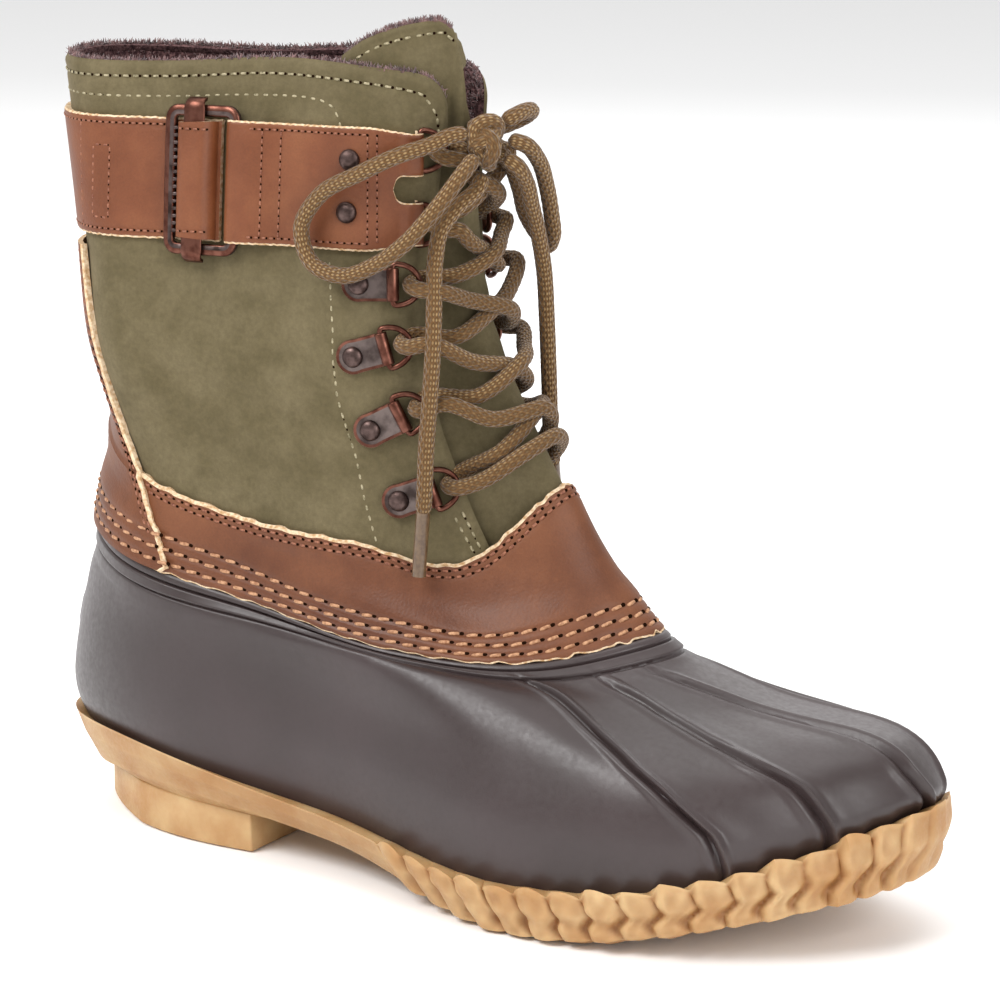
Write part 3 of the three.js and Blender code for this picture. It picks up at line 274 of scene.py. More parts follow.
def drapedGrid(name, columns, rows, place, size=(1, 1), merge=False):
    # a grid laid where place(u, v) says in millimetres; its UV map is in metres
    clearSelection()
    bpy.ops.mesh.primitive_grid_add(x_subdivisions=columns, y_subdivisions=rows, size=1)
    piece = bpy.context.active_object
    piece.name = piece.data.name = name
    mesh = piece.data
    flat = np.empty(len(mesh.vertices) * 3)
    mesh.vertices.foreach_get("co", flat)
    u, v = flat.reshape(-1, 3)[:, :2].T + 0.5
    mesh.vertices.foreach_set("co", toFrame(place(u, v)).ravel())
    uvs = np.empty(len(mesh.loops) * 2)
    mesh.uv_layers.active.data.foreach_get("uv", uvs)
    mesh.uv_layers.active.data.foreach_set("uv", (uvs.reshape(-1, 2) * size).ravel())
    mesh.update()
    if merge:
        mergeDoubles(piece)
    return piece


def mergeDoubles(piece, distance=1e-6):
    choose(piece)
    bpy.ops.object.mode_set(mode="EDIT")
    bpy.ops.mesh.select_all(action="SELECT")
    bpy.ops.mesh.remove_doubles(threshold=distance)
    bpy.ops.object.mode_set(mode="OBJECT")


def withModifiers(piece, *modifiers):
    choose(piece)
    for kind, settings in modifiers:
        modifier = piece.modifiers.new(kind.lower(), kind)
        for key, value in settings.items():
            setattr(modifier, key, value)
        bpy.ops.object.modifier_apply(modifier=modifier.name)
    return piece


def joined(name, pieces):
    clearSelection()
    for piece in pieces:
        piece.select_set(True)
    bpy.context.view_layer.objects.active = pieces[0]
    bpy.ops.object.join()
    pieces[0].name = pieces[0].data.name = name
    return pieces[0]


def meshPiece(name, points, faces, materials=(), faceSlots=None):
    mesh = bpy.data.meshes.new(name)
    mesh.from_pydata(np.asarray(points).tolist(), [], faces)
    piece = bpy.data.objects.new(name, mesh)
    bpy.context.scene.collection.objects.link(piece)
    for material in materials:
        mesh.materials.append(material)
    if faceSlots is not None:
        mesh.polygons.foreach_set("material_index", faceSlots)
    mesh.update()
    return piece


def finished(piece, slot, *nodes, materials=(), sharp=40):
    if materials:
        piece.data.materials.clear()
        for material in materials:
            piece.data.materials.append(material)
    choose(piece)
    if sharp >= 180:
        bpy.ops.object.shade_smooth()
    else:
        bpy.ops.object.shade_smooth_by_angle(angle=rad(sharp))
    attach(piece, "root")
    if nodes:
        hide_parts(*nodes)
    return piece


def flowing(points, spacing):  # a smooth line through the points, in even steps
    points = np.asarray(points, float)
    gaps = np.linalg.norm(np.diff(points, axis=0), axis=1)
    rises = np.diff(points, axis=0) / gaps[:, None]
    inner = ((gaps[:-1, None] * rises[1:] + gaps[1:, None] * rises[:-1])
             / (gaps[:-1] + gaps[1:])[:, None])
    slopes = np.concatenate((rises[:1], inner, rises[-1:]))
    fine = []
    for i, gap in enumerate(gaps):
        s = np.linspace(0, 1, max(4, int(gap / spacing * 3)), endpoint=False)[:, None]
        fromStart = (2 * s - 3) * s * s + 1
        fine.append(fromStart * points[i] + (1 - fromStart) * points[i + 1]
                    + gap * (((s - 2) * s + 1) * s * slopes[i] + (s - 1) * s * s * slopes[i + 1]))
    fine = np.concatenate(fine + [points[-1:]])
    return evenSteps(fine, spacing)


def evenSteps(points, spacing):
    walked = np.concatenate(([0], np.cumsum(np.linalg.norm(np.diff(points, axis=0), axis=1))))
    wanted = np.linspace(0, walked[-1], max(3, int(round(walked[-1] / spacing)) + 1))
    return np.stack([np.interp(wanted, walked, points[:, i]) for i in range(3)], -1)


def lineLength(points):
    return float(np.linalg.norm(np.diff(points, axis=0), axis=1).sum())


def carriedFrames(path, closed=False):  # directions across a line that don't twist along it
    ahead = unit(np.gradient(path, axis=0))
    if closed:
        ahead = unit(np.roll(path, -1, axis=0) - np.roll(path, 1, axis=0))
    side = np.zeros_like(path)
    start = np.cross(ahead[0], (0, 0, 1))
    if np.linalg.norm(start) < 0.2:
        start = np.cross(ahead[0], (0, 1, 0))
    side[0] = start / np.linalg.norm(start)
    for i in range(1, len(path)):
        kept = side[i - 1] - ahead[i] * side[i - 1].dot(ahead[i])
        side[i] = kept / np.linalg.norm(kept)
    return ahead, side, np.cross(ahead, side)


def tube(name, path, radius, sides=20, relief=None, closed=False, roundEnds=True):
    # a tube along an even line; relief(around, along) adds to its radius in millimetres
    count = len(path)
    side, over = carriedFrames(path, closed)[1:]
    walked = np.concatenate(([0], np.cumsum(np.linalg.norm(np.diff(path, axis=0), axis=1))))
    total = walked[-1]
    rows = count if closed else count - 1

    def place(u, v):
        row = np.round(v * rows).astype(int) % count if closed else np.round(v * rows).astype(int)
        turn = u * 2 * np.pi
        size = np.full(len(u), float(radius))
        if relief is not None:
            size += relief(turn, walked[row])
        if roundEnds and not closed:
            reach = np.clip(np.minimum(walked[row], total - walked[row]) / radius, 0, 1)
            size *= np.sqrt(1 - (1 - reach) ** 2)
        return (path[row] + side[row] * (size * np.cos(turn))[:, None]
                + over[row] * (size * np.sin(turn))[:, None])

    around = 2 * math.pi * radius / 1000
    return drapedGrid(name, sides, rows, place, size=(around, total / 1000), merge=True)


def copiesOf(template, matrices):  # one mesh of many placed copies: points, faces, slots
    source = template.data
    points = np.array([v.co for v in source.vertices])
    faces = [list(p.vertices) for p in source.polygons]
    slots = [p.material_index for p in source.polygons]
    flat = np.concatenate([points @ m[:3, :3].T + m[:3, 3] for m in matrices])
    allFaces = [[i + k * len(points) for i in face] for k in range(len(matrices)) for face in faces]
    return flat, allFaces, slots * len(matrices)


# ---- materials
# gum rubber: moulded, slightly translucent tan with a faint orange-brown mottle, painted shade darkening its hollows,
# and a dull sheen
gumRubber, tree, shader, place = newMaterial("mouldedGumRubber", "#b28a58", 0.55,
                                             Subsurface_Weight=0.08, Subsurface_Scale=0.003)
cloud = addNode(tree, "TexNoise", {"Vector": place, "Scale": perMetre(16), "Detail": 4})
cloudMask = addNode(tree, "MapRange", {0: cloud, 1: 0.38, 2: 0.66})
# painted shade: Pointiness turns concave hollows (grooves, gaps between lumps) towards a darker orange-brown
deep = addNode(tree, "NewGeometry")
dip = addNode(tree, "MapRange", {0: deep.outputs["Pointiness"], 1: 0.44, 2: 0.53})
tan = addNode(tree, "Mix", {0: cloudMask, 6: linear("#ac8252"), 7: linear("#c1a072")}, data_type="RGBA")
tanWithHollowShade = addNode(tree, "Mix", {0: dip, 6: linear("#8a5a2d"), 7: tan}, data_type="RGBA")
tree.links.new(tanWithHollowShade.outputs[2], shader.inputs["Base Color"])
grit = addNode(tree, "TexNoise", {"Vector": place, "Scale": perMetre(1.1), "Detail": 5})  # mould grain
bump = addNode(tree, "Bump", {"Strength": 0.25, "Distance": 0.0004, "Height": grit})
tree.links.new(bump.outputs[0], shader.inputs["Normal"])
dull = addNode(tree, "MapRange", {0: grit, 1: 0.3, 2: 0.7, 3: 0.45, 4: 0.68})
tree.links.new(dull.outputs[0], shader.inputs["Roughness"])

# shell rubber: hand-lacquered dark brown rubber, satin, with dust-fine pits and soft cloudy bloom
shellRubber, tree, shader, place = newMaterial("lacqueredShellRubber", "#332827", 0.42, Coat_Weight=0.15,
                                               Coat_Roughness=0.3)
bloom = addNode(tree, "TexNoise", {"Vector": place, "Scale": perMetre(45), "Detail": 3})
bloomMask = addNode(tree, "MapRange", {0: bloom, 1: 0.35, 2: 0.68})
brown = addNode(tree, "Mix", {0: bloomMask, 6: linear("#2f2423"), 7: linear("#392d2d")}, data_type="RGBA")
tree.links.new(brown.outputs[2], shader.inputs["Base Color"])
skinGrain = addNode(tree, "TexNoise", {"Vector": place, "Scale": perMetre(1.6), "Detail": 6})
waves = addNode(tree, "TexNoise", {"Vector": place, "Scale": perMetre(14), "Detail": 2})
fine = addNode(tree, "Bump", {"Strength": 0.12, "Distance": 0.0003, "Height": skinGrain})
bump = addNode(tree, "Bump", {"Strength": 0.12, "Distance": 0.002, "Height": waves, "Normal": fine})
tree.links.new(bump.outputs[0], shader.inputs["Normal"])
satin = addNode(tree, "MapRange", {0: skinGrain, 1: 0.3, 2: 0.7, 3: 0.36, 4: 0.5})
tree.links.new(satin.outputs[0], shader.inputs["Roughness"])

# pull-up leather: waxed brown cowhide, cloudy where it is bent, 0.9 mm grain, satin


def pullUpLeather(name, dark, mid, pale, blotch):
    material, tree, shader, place = newMaterial(name, mid, 0.5, Specular_IOR_Level=0.4)
    cloud = addNode(tree, "TexNoise", {"Vector": place, "Scale": perMetre(blotch), "Detail": 5,
                                       "Roughness": 0.6})
    low = addNode(tree, "MapRange", {0: cloud, 1: 0.32, 2: 0.52})
    high = addNode(tree, "MapRange", {0: cloud, 1: 0.5, 2: 0.75})
    first = addNode(tree, "Mix", {0: low, 6: linear(dark), 7: linear(mid)}, data_type="RGBA")
    second = addNode(tree, "Mix", {0: high, 6: first, 7: linear(pale)}, data_type="RGBA")
    grain = addNode(tree, "TexVoronoi", {"Vector": place, "Scale": perMetre(0.9)})
    pores = addNode(tree, "TexNoise", {"Vector": place, "Scale": perMetre(0.6), "Detail": 4})
    speck = addNode(tree, "MapRange", {0: pores, 1: 0.3, 2: 0.7, 3: 0.9, 4: 1.06})
    tinted = addNode(tree, "Mix", {0: 1, 6: second, 7: speck}, data_type="RGBA", blend_type="MULTIPLY")
    tree.links.new(tinted.outputs[2], shader.inputs["Base Color"])
    rise = addNode(tree, "Math", {0: grain, 1: pores}, operation="ADD")
    bump = addNode(tree, "Bump", {"Strength": 0.22, "Distance": 0.00025, "Height": rise})
    tree.links.new(bump.outputs[0], shader.inputs["Normal"])
    shine = addNode(tree, "MapRange", {0: cloud, 1: 0.3, 2: 0.7, 3: 0.42, 4: 0.58})
    tree.links.new(shine.outputs[0], shader.inputs["Roughness"])
    return material


panelLeather = pullUpLeather("pullUpLeather", "#542b14", "#66391e", "#78482a", 32)
strapLeather = pullUpLeather("strapLeather", "#623216", "#6f3c1f", "#7d4a2a", 24)

# raw edge: undyed cut side of the leather, cream with fine fibres
rawEdge, tree, shader, place = newMaterial("rawLeatherEdge", "#d3b58f", 0.9)
fibre = addNode(tree, "TexNoise", {"Vector": place, "Scale": perMetre(1.3), "Detail": 6})
fibreMask = addNode(tree, "MapRange", {0: fibre, 1: 0.34, 2: 0.6})
cream = addNode(tree, "Mix", {0: fibreMask, 6: linear("#b38b5f"), 7: linear("#dec7a7")}, data_type="RGBA")
tree.links.new(cream.outputs[2], shader.inputs["Base Color"])
bump = addNode(tree, "Bump", {"Strength": 0.6, "Distance": 0.0004, "Height": fibre})
tree.links.new(bump.outputs[0], shader.inputs["Normal"])

# nubuck: buffed olive leather, a soft nap that brushes lighter and darker, no gloss
nubuck, tree, shader, place = newMaterial("brushedNubuck", "#61573f", 0.95, Specular_IOR_Level=0.15,
                                          Sheen_Weight=0.25, Sheen_Roughness=0.5)
shader.inputs["Sheen Tint"].default_value = linear("#ac9f8a")
brushed = addNode(tree, "TexNoise", {"Vector": place, "Scale": perMetre(13), "Detail": 5, "Roughness": 0.65})
nap = addNode(tree, "TexNoise", {"Vector": place, "Scale": perMetre(1.5), "Detail": 5, "Roughness": 0.7})
brushMask = addNode(tree, "MapRange", {0: brushed, 1: 0.35, 2: 0.65})
napMask = addNode(tree, "MapRange", {0: nap, 1: 0.3, 2: 0.7, 3: 0.86, 4: 1.12})
olive = addNode(tree, "Mix", {0: brushMask, 6: linear("#584f38"), 7: linear("#685e46")}, data_type="RGBA")
napped = addNode(tree, "Mix", {0: 1, 6: olive, 7: napMask}, data_type="RGBA", blend_type="MULTIPLY")
tree.links.new(napped.outputs[2], shader.inputs["Base Color"])
bump = addNode(tree, "Bump", {"Strength": 0.4, "Distance": 0.0003, "Height": nap})
tree.links.new(bump.outputs[0], shader.inputs["Normal"])

# fleece: dark mauve curly pile with lighter tips
fleece, tree, shader, place = newMaterial("curlyFleece", "#452f32", 1, Sheen_Weight=0.5,
                                          Specular_IOR_Level=0.1)
shader.inputs["Sheen Tint"].default_value = linear("#997b7b")
curl = addNode(tree, "TexVoronoi", {"Vector": place, "Scale": perMetre(2.6)})
hair = addNode(tree, "TexNoise", {"Vector": place, "Scale": perMetre(1), "Detail": 5})
tips = addNode(tree, "MapRange", {0: hair, 1: 0.4, 2: 0.68})
pile = addNode(tree, "Mix", {0: tips, 6: linear("#362325"), 7: linear("#6f5251")}, data_type="RGBA")
tree.links.new(pile.outputs[2], shader.inputs["Base Color"])
rise = addNode(tree, "Math", {0: curl, 1: hair}, operation="ADD")
bump = addNode(tree, "Bump", {"Strength": 1, "Distance": 0.0012, "Height": rise})
tree.links.new(bump.outputs[0], shader.inputs["Normal"])

# pile tips: loose hairs that catch the light at the collar
pileTips, tree, shader, place = newMaterial("fleeceTips", "#654847", 0.9, Sheen_Weight=0.4)
shade = addNode(tree, "TexNoise", {"Vector": place, "Scale": perMetre(3), "Detail": 3})
shadeMask = addNode(tree, "MapRange", {0: shade, 1: 0.35, 2: 0.65})
hairs = addNode(tree, "Mix", {0: shadeMask, 6: linear("#442b2d"), 7: linear("#82605d")}, data_type="RGBA")
tree.links.new(hairs.outputs[2], shader.inputs["Base Color"])


def plated(name, dark, bright, roughness, blotch):  # plated steel or copper, rubbed and darkened
    material, tree, shader, place = newMaterial(name, bright, roughness, Metallic=1)
    stain = addNode(tree, "TexNoise", {"Vector": place, "Scale": perMetre(blotch), "Detail": 5})
    stainMask = addNode(tree, "MapRange", {0: stain, 1: 0.36, 2: 0.6})
    metal = addNode(tree, "Mix", {0: stainMask, 6: linear(dark), 7: linear(bright)}, data_type="RGBA")
    tree.links.new(metal.outputs[2], shader.inputs["Base Color"])
    rubbed = addNode(tree, "MapRange", {0: stain, 1: 0.3, 2: 0.7, 3: roughness + 0.14, 4: roughness - 0.06})
    tree.links.new(rubbed.outputs[0], shader.inputs["Roughness"])
    scratch = addNode(tree, "TexNoise", {"Vector": place, "Scale": perMetre(0.7), "Detail": 4})
    bump = addNode(tree, "Bump", {"Strength": 0.2, "Distance": 0.0001, "Height": scratch})
    tree.links.new(bump.outputs[0], shader.inputs["Normal"])
    return material


antiqueCopper = plated("antiqueCopper", "#502f26", "#724b3f", 0.34, 3)
darkSteel = plated("blackenedSteel", "#352b28", "#645653", 0.42, 4)
plateSteel = plated("rubbedPlate", "#463c39", "#6e625e", 0.45, 5)
domeSteel = plated("rivetDome", "#3b2f2c", "#61504c", 0.38, 2.5)

# round lace: 16-strand polyester braid, tan-olive with pale flecks in two rows; drawn on its own UV
# map, across in metres round the lace and along in metres of its length
laceBraid, tree, shader, place = newMaterial("braidedLace", "#5d4323", 0.85, Specular_IOR_Level=0.2,
                                             Sheen_Weight=0.2)
laceMap = addNode(tree, "UVMap")
split = addNode(tree, "SeparateXYZ", {0: laceMap})
strandWidth, strandStep = 0.0019, 0.0032  # 16 strands round 15 mm; a strand's turn seen along


def slanted(sign):
    across = addNode(tree, "Math", {0: split.outputs[0], 1: 1 / strandWidth}, operation="MULTIPLY")
    lengthwise = addNode(tree, "Math", {0: split.outputs[1], 1: sign / strandStep}, operation="MULTIPLY")
    both = addNode(tree, "Math", {0: across, 1: lengthwise}, operation="ADD")
    turn = addNode(tree, "Math", {0: both, 1: 2 * math.pi}, operation="MULTIPLY")
    return addNode(tree, "Math", {0: turn}, operation="SINE")


leftStrand, rightStrand = slanted(1), slanted(-1)
weave = addNode(tree, "Math", {0: leftStrand, 1: rightStrand}, operation="MAXIMUM")
# painted shade: the low gaps between the strands are darkened towards #412b15
gap = addNode(tree, "MapRange", {0: weave, 1: -0.75, 2: 0.25})
cross = addNode(tree, "Math", {0: leftStrand, 1: rightStrand}, operation="MULTIPLY")
rowTurn = addNode(tree, "Math", {0: split.outputs[0], 1: 2 * math.pi / 0.0075}, operation="MULTIPLY")
rowWave = addNode(tree, "Math", {0: rowTurn}, operation="COSINE")
rowMask = addNode(tree, "MapRange", {0: rowWave, 1: -0.2, 2: 0.7, 3: 0.35, 4: 1})
fleckMask = addNode(tree, "MapRange", {0: cross, 1: 0.15, 2: 0.55})
flecks = addNode(tree, "Math", {0: rowMask, 1: fleckMask}, operation="MULTIPLY")
yarn = addNode(tree, "Mix", {0: gap, 6: linear("#412b15"), 7: linear("#644727")}, data_type="RGBA")
flecked = addNode(tree, "Mix", {0: flecks, 6: yarn, 7: linear("#967b55")}, data_type="RGBA")
tree.links.new(flecked.outputs[2], shader.inputs["Base Color"])
bump = addNode(tree, "Bump", {"Strength": 0.7, "Distance": 0.0004, "Height": weave})
tree.links.new(bump.outputs[0], shader.inputs["Normal"])

# end sleeve: clear-coated paper-thin film over the braid
endSleeve, tree, shader, place = newMaterial("laceEndSleeve", "#5c452c", 0.3, Coat_Weight=0.4)
streak = addNode(tree, "TexNoise", {"Vector": place, "Scale": perMetre(1.6), "Detail": 3})
streakMask = addNode(tree, "MapRange", {0: streak, 1: 0.35, 2: 0.65})
film = addNode(tree, "Mix", {0: streakMask, 6: linear("#4e3721"), 7: linear("#654e34")}, data_type="RGBA")
tree.links.new(film.outputs[2], shader.inputs["Base Color"])


def thread(name, dark, pale):  # bonded sewing thread, two-ply twist 1 mm along, slightly waxed
    material, tree, shader, place = newMaterial(name, pale, 0.6)
    ply = addNode(tree, "TexNoise", {"Vector": place, "Scale": perMetre(0.9), "Detail": 3})
    plyMask = addNode(tree, "MapRange", {0: ply, 1: 0.35, 2: 0.6})
    twist = addNode(tree, "Mix", {0: plyMask, 6: linear(dark), 7: linear(pale)}, data_type="RGBA")
    tree.links.new(twist.outputs[2], shader.inputs["Base Color"])
    bump = addNode(tree, "Bump", {"Strength": 0.5, "Distance": 0.0002, "Height": ply})
    tree.links.new(bump.outputs[0], shader.inputs["Normal"])
    return material


tanThread = thread("tanThread", "#916242", "#bb8d69")
rustThread = thread("rustThread", "#6b3925", "#966147")
oliveThread = thread("oliveThread", "#6d6547", "#a69b7d")
paintedHoleShadow = newMaterial("paintedHoleShadow", "#1c0f08", 1, Specular_IOR_Level=0)[0]  # painted shadow: a flat dark patch standing for the shade inside a needle's hole
print("materials ready")


# ---- hardware places, as in the solids
hardware = {
    "clips": [(6.33, 124, 0, 0.9), (6.65, 122.5, 10, 0.3), (7.03, 123.5, 3, 0.3), (7.57, 129, -4, 0.3)],
    "ringOffsets": (-10.1, 11.1), "forkEnd": 147, "overlay": 2.1, "leather": 1.6,
    "clipReach": 10.5, "tubeRadius": 1.8, "wire": 0.85, "ringReach": 8.6, "ringTilt": 14, "lugTilt": 5,
}
strap = {"height": 233 * 0.8605, "rise": 1, "width": 35, "notch": 7.5}


def strapLevel(angle, offset):
    angle = np.atleast_1d(angle)
    return levelAtHeight(angle, strap["height"] + strap["rise"] * along(angle) + offset)


def strapPoint(angle, offset, depth, normals=False):
    angle, offset, depth = (a.ravel() for a in np.broadcast_arrays(
        np.asarray(angle, float), np.asarray(offset, float), np.asarray(depth, float)))
    height = strap["height"] + strap["rise"] * along(angle)
    middle = lastPoint(angle, levelAtHeight(angle, height))
    spot = angle.copy()
    flat = np.array([1, 1, 0])
    for _ in range(4):
        at = levelAtHeight(spot, height + offset)
        ahead = (lastPoint(spot + 0.01, at) - lastPoint(spot - 0.01, at)) * flat
        size = np.linalg.norm(ahead, axis=1)
        spot -= 0.02 * ((lastPoint(spot, at) - middle) * flat * ahead).sum(1) / size ** 2
    if normals:
        return skin(spot, at, depth), directions(spot, at)[2]
    return skin(spot, at, depth)


def moved(x, y, z):
    matrix = np.eye(4)
    matrix[:3, 3] = x, y, z
    return matrix


def turned(axis, degrees):
    return np.array(Matrix.Rotation(rad(degrees), 4, axis))


def seatFrame(angle, level, depth, turn=0, mirror=1):  # a flat frame on the last, in millimetres
    spot, level = np.array([angle * mirror]), np.atleast_1d(float(level))
    up, out = (d[0] for d in directions(spot, level)[1:])
    forward = unit(np.cross(up, out)) * mirror
    matrix = np.eye(4)
    matrix[:3, 0], matrix[:3, 1], matrix[:3, 2] = forward, unit(np.cross(out, forward)), out
    matrix[:3, 3] = skin(spot, level, depth)[0]
    return matrix @ turned("Z", turn)


def ringFrames():
    found = {}
    for mark, mirror in (("outer", 1), ("inner", -1)):
        for i, (level, angle, turn, lift) in enumerate(hardware["clips"]):
            seat = seatFrame(rad(angle), level, lift - hardware["overlay"], turn, mirror)
            hinge = moved(hardware["clipReach"], 0, hardware["tubeRadius"]) @ turned("Y", hardware["ringTilt"])
            found[mark, i + 1] = (seat, seat @ hinge)
        for i, offset in enumerate(hardware["ringOffsets"]):
            angle = rad(hardware["forkEnd"])
            seat = seatFrame(angle, strapLevel(angle, offset)[0], -hardware["leather"] / 3, 0, mirror)
            hinge = moved(hardware["wire"] + 0.6, 0, 0) @ turned("Y", hardware["lugTilt"])
            found[mark, i + 5] = (seat, seat @ hinge)
    return found


rings = ringFrames()
print("ring places ready")

# ---- laces: the free cords first, on the solids' own routes
lace = {"diameter": 4.8, "sides": 22, "spacing": 0.75}
laceRoutes = {
    "lace_loop_left": [
        (148.8, -12.6, 217.4), (146.4, -16, 217.3), (141.5, -21.5, 214.6), (135, -27, 212),
        (124.4, -31, 206.6), (112.1, -33, 199.6), (106.6, -34, 190.4), (110.1, -34.5, 180.8),
        (120.5, -33.8, 177.6), (130, -32, 181.2), (138.5, -30, 187.5), (146, -26, 197),
        (151, -20, 206.5), (151.8, -13.4, 211.4)],
    "lace_loop_right": [
        (156.7, -4.1, 215.4), (160, -1.5, 214.4), (160.6, 6, 209.2), (159, 13.5, 201),
        (157.4, 19.2, 191.6), (155.4, 23.6, 184.4), (151.6, 26.8, 181), (147.8, 27.4, 184.2),
        (147.2, 22, 190.4), (149.4, 14.6, 199), (150.6, 7.2, 207), (150.7, 2.4, 210.2), (151.1, -1.4, 211.5)],
    "lace_loop_small": [
        (154.3, -2.9, 220), (156, 0.4, 221.6), (156.6, 5.4, 222.6), (155.4, 11, 222),
        (151.5, 13.4, 219.8), (147.6, 9.6, 217.6), (146.4, 3.5, 216.8), (148.3, -2.4, 216.4)],
    "lace_end_left": [
        (151.8, -9.2, 206.3), (151.2, -11, 202.4), (148.2, -16.5, 197.6), (144.8, -20.4, 191),
        (143.6, -21.6, 182.5), (144.2, -23.1, 171.3), (145.2, -25.4, 157.5), (145.3, -27.3, 142.8),
        (144.7, -28.2, 129.2), (144, -28.1, 115.2), (142.6, -27.6, 101.9), (142.2, -28.2, 92.4)],
    "lace_end_right": [
        (156.9, -6.7, 210.8), (159.6, -5.2, 209), (160, 0.5, 203.4), (158.6, 6, 196),
        (157.4, 12, 186.6), (156.4, 17, 175.5), (155.7, 20, 160.3), (155.4, 22, 142.2),
        (154.1, 25.5, 123.6), (153, 29.5, 110), (152, 32, 98)],
}
sleeveLength = 20


def braidRelief(turn, walked):  # the strands' own rounding, 16 round the lace
    left = np.sin(8 * turn + walked * 2 * np.pi / 3.2)
    right = np.sin(8 * turn - walked * 2 * np.pi / 3.2)
    return 0.11 * np.maximum(left, right) - 0.11


for name, route in laceRoutes.items():
    path = flowing(route, lace["spacing"])
    withSleeve = name.startswith("lace_end")
    pieceName = {"lace_loop_left": "laceLoopLeft", "lace_loop_right": "laceLoopRight",
                 "lace_loop_small": "laceLoopSmall", "lace_end_left": "laceEndLeft",
                 "lace_end_right": "laceEndRight"}[name]
    drawnFrom = lineLength(path) - sleeveLength if withSleeve else 1000

    def cordRelief(turn, walked):  # the braid is drawn in under its end sleeve
        return braidRelief(turn, walked) - 0.42 * smoothStep(walked, drawnFrom, drawnFrom + 1.5)

    cord = tube(pieceName, path, lace["diameter"] / 2, lace["sides"], cordRelief)
    finished(cord, "lace", name, materials=[laceBraid], sharp=180)
    if withSleeve:  # the thin film sleeve over the last two centimetres
        count = int(sleeveLength / lace["spacing"])
        tail = path[-count:]
        sleeveLine = np.concatenate((tail, tail[-1:] + unit(tail[-1] - tail[-2]) * 0.4))
        sleeve = tube(pieceName + "Sleeve", sleeveLine,
                      lace["diameter"] / 2 - 0.34, 20, roundEnds=False)
        finished(sleeve, "lace", materials=[endSleeve], sharp=60)
    framePath = toFrame(path)
    print(f"{pieceName}: {lineLength(path):.0f} mm")

# knot: two turns of the lace round the crossing strands
knot = {"centre": (151.8, -7.4, 214.9), "turns": [
    ((3.4, 4.2, 6.6), (25, 10, 0)), ((3.6, 4.4, 5.6), (-48, -20, 30)), ((2.6, 3.6, 4.6), (80, 30, 10))]}
knotParts = []
for i, (size, tip) in enumerate(knot["turns"]):
    spin = np.array((Matrix.Rotation(rad(tip[2]), 3, "Z") @ Matrix.Rotation(rad(tip[1]), 3, "Y")
                     @ Matrix.Rotation(rad(tip[0]), 3, "X")))
    angles = np.linspace(0, 2 * np.pi, 44, endpoint=False)
    loop = np.stack([size[0] * 0.5 * np.sin(2 * angles), size[1] * np.cos(angles),
                     size[2] * np.sin(angles)], -1) @ spin.T + knot["centre"]
    knotParts.append(tube(f"knotTurn{i}", loop, lace["diameter"] / 2, lace["sides"], braidRelief, closed=True))
knotPiece = joined("laceKnot", knotParts)
finished(knotPiece, "lace", "lace_knot", materials=[laceBraid], sharp=180)


# crossings: each lace goes over a ring's tip, down through it, and out from under it to the far side
def ringPoint(mark, row, x, y, z):
    return (rings[mark, row][1] @ np.array([x, y, z, 1]))[:3]


tipWire = hardware["ringReach"] - hardware["wire"]
wrap = 2.85
ringTips = [(141, 6.30), (142.5, 6.62), (144, 7.0), (151.5, 7.5), (155.5, 8.03), (155, 8.49)]


def crossStrand(fromSide, row, over):  # middle points of a strand to the next row's far ring
    (a, levelA), (b, levelB) = ringTips[row - 1], ringTips[row]
    start, end = (a, 360 - b) if fromSide == "outer" else (360 - a, b)
    shares = np.array([0.22, 0.5, 0.78])
    lift = np.array([1.2, 5.2 if over else 1.4, 3.6])
    return skin(np.radians(start + (end - start) * shares), levelA + (levelB - levelA) * shares, lift)


def lacePath(firstSide, over):
    points = []
    side = firstSide
    for row in range(1, 7):
        sign = 1 if side == "outer" else -1
        points += [ringPoint(side, row, tipWire + 4.2, -1.6 * sign, wrap + 0.9),
                   ringPoint(side, row, tipWire - 0.6, -1.2 * sign, wrap),
                   ringPoint(side, row, tipWire - wrap, 0, 0),
                   ringPoint(side, row, tipWire - 0.4, 1.3 * sign, -wrap)]
        if row < 6:
            points += list(crossStrand(side, row, over[row - 1]))
            side = "inner" if side == "outer" else "outer"
    return points


barMiddle = skin(np.radians([165, 180, 195]), [6.28, 6.28, 6.28], [3.4, 3.6, 3.4])
outerStart = lacePath("outer", [False, False, False, False, False])
innerStart = lacePath("inner", [True, True, True, True, True])
bar = [*barMiddle]
knotHome = np.array(knot["centre"])
route = (list(reversed(outerStart)) + bar + innerStart)
route = [knotHome + (-2, -3, -5)] + route + [knotHome + (-2, 1, -5)]
crossing = tube("laceCrossings", flowing(route, lace["spacing"]), lace["diameter"] / 2, 18, braidRelief)
finished(crossing, "lace", "lace_crossings", materials=[laceBraid], sharp=180)
print("laces ready")


def columnLines(*spans):  # angles round the boot, in degrees: start, end and step of each span
    parts = [np.arange(start, end - step / 2, step) for start, end, step in spans]
    return np.radians(np.concatenate(parts + [[spans[-1][1]]]))


def picked(values, share):  # the value of each grid line, for the grid's own 0 to 1 places
    return values[np.round(share * (len(values) - 1)).astype(int)]


def levelsFrom(angle, level, distance, way=-1):  # the level this many millimetres below or above another
    angle, level, distance = (a.ravel() for a in np.broadcast_arrays(
        np.asarray(angle, float), np.asarray(level, float), np.asarray(distance, float)))
    steps = np.linspace(0, 1.2, 18)
    line = np.stack([lastPoint(angle, np.clip(level + way * s, 0, topLevel)) for s in steps])
    walked = np.concatenate((np.zeros((1, angle.size)),
                             np.cumsum(np.linalg.norm(np.diff(line, axis=0), axis=2), axis=0)))
    i = np.clip((walked < distance).sum(0), 1, len(steps) - 1)
    pick = np.arange(angle.size)
    share = (distance - walked[i - 1, pick]) / (walked[i, pick] - walked[i - 1, pick] + 1e-9)
    return np.clip(level + way * (steps[i - 1] + share * steps[1]), 0, topLevel)


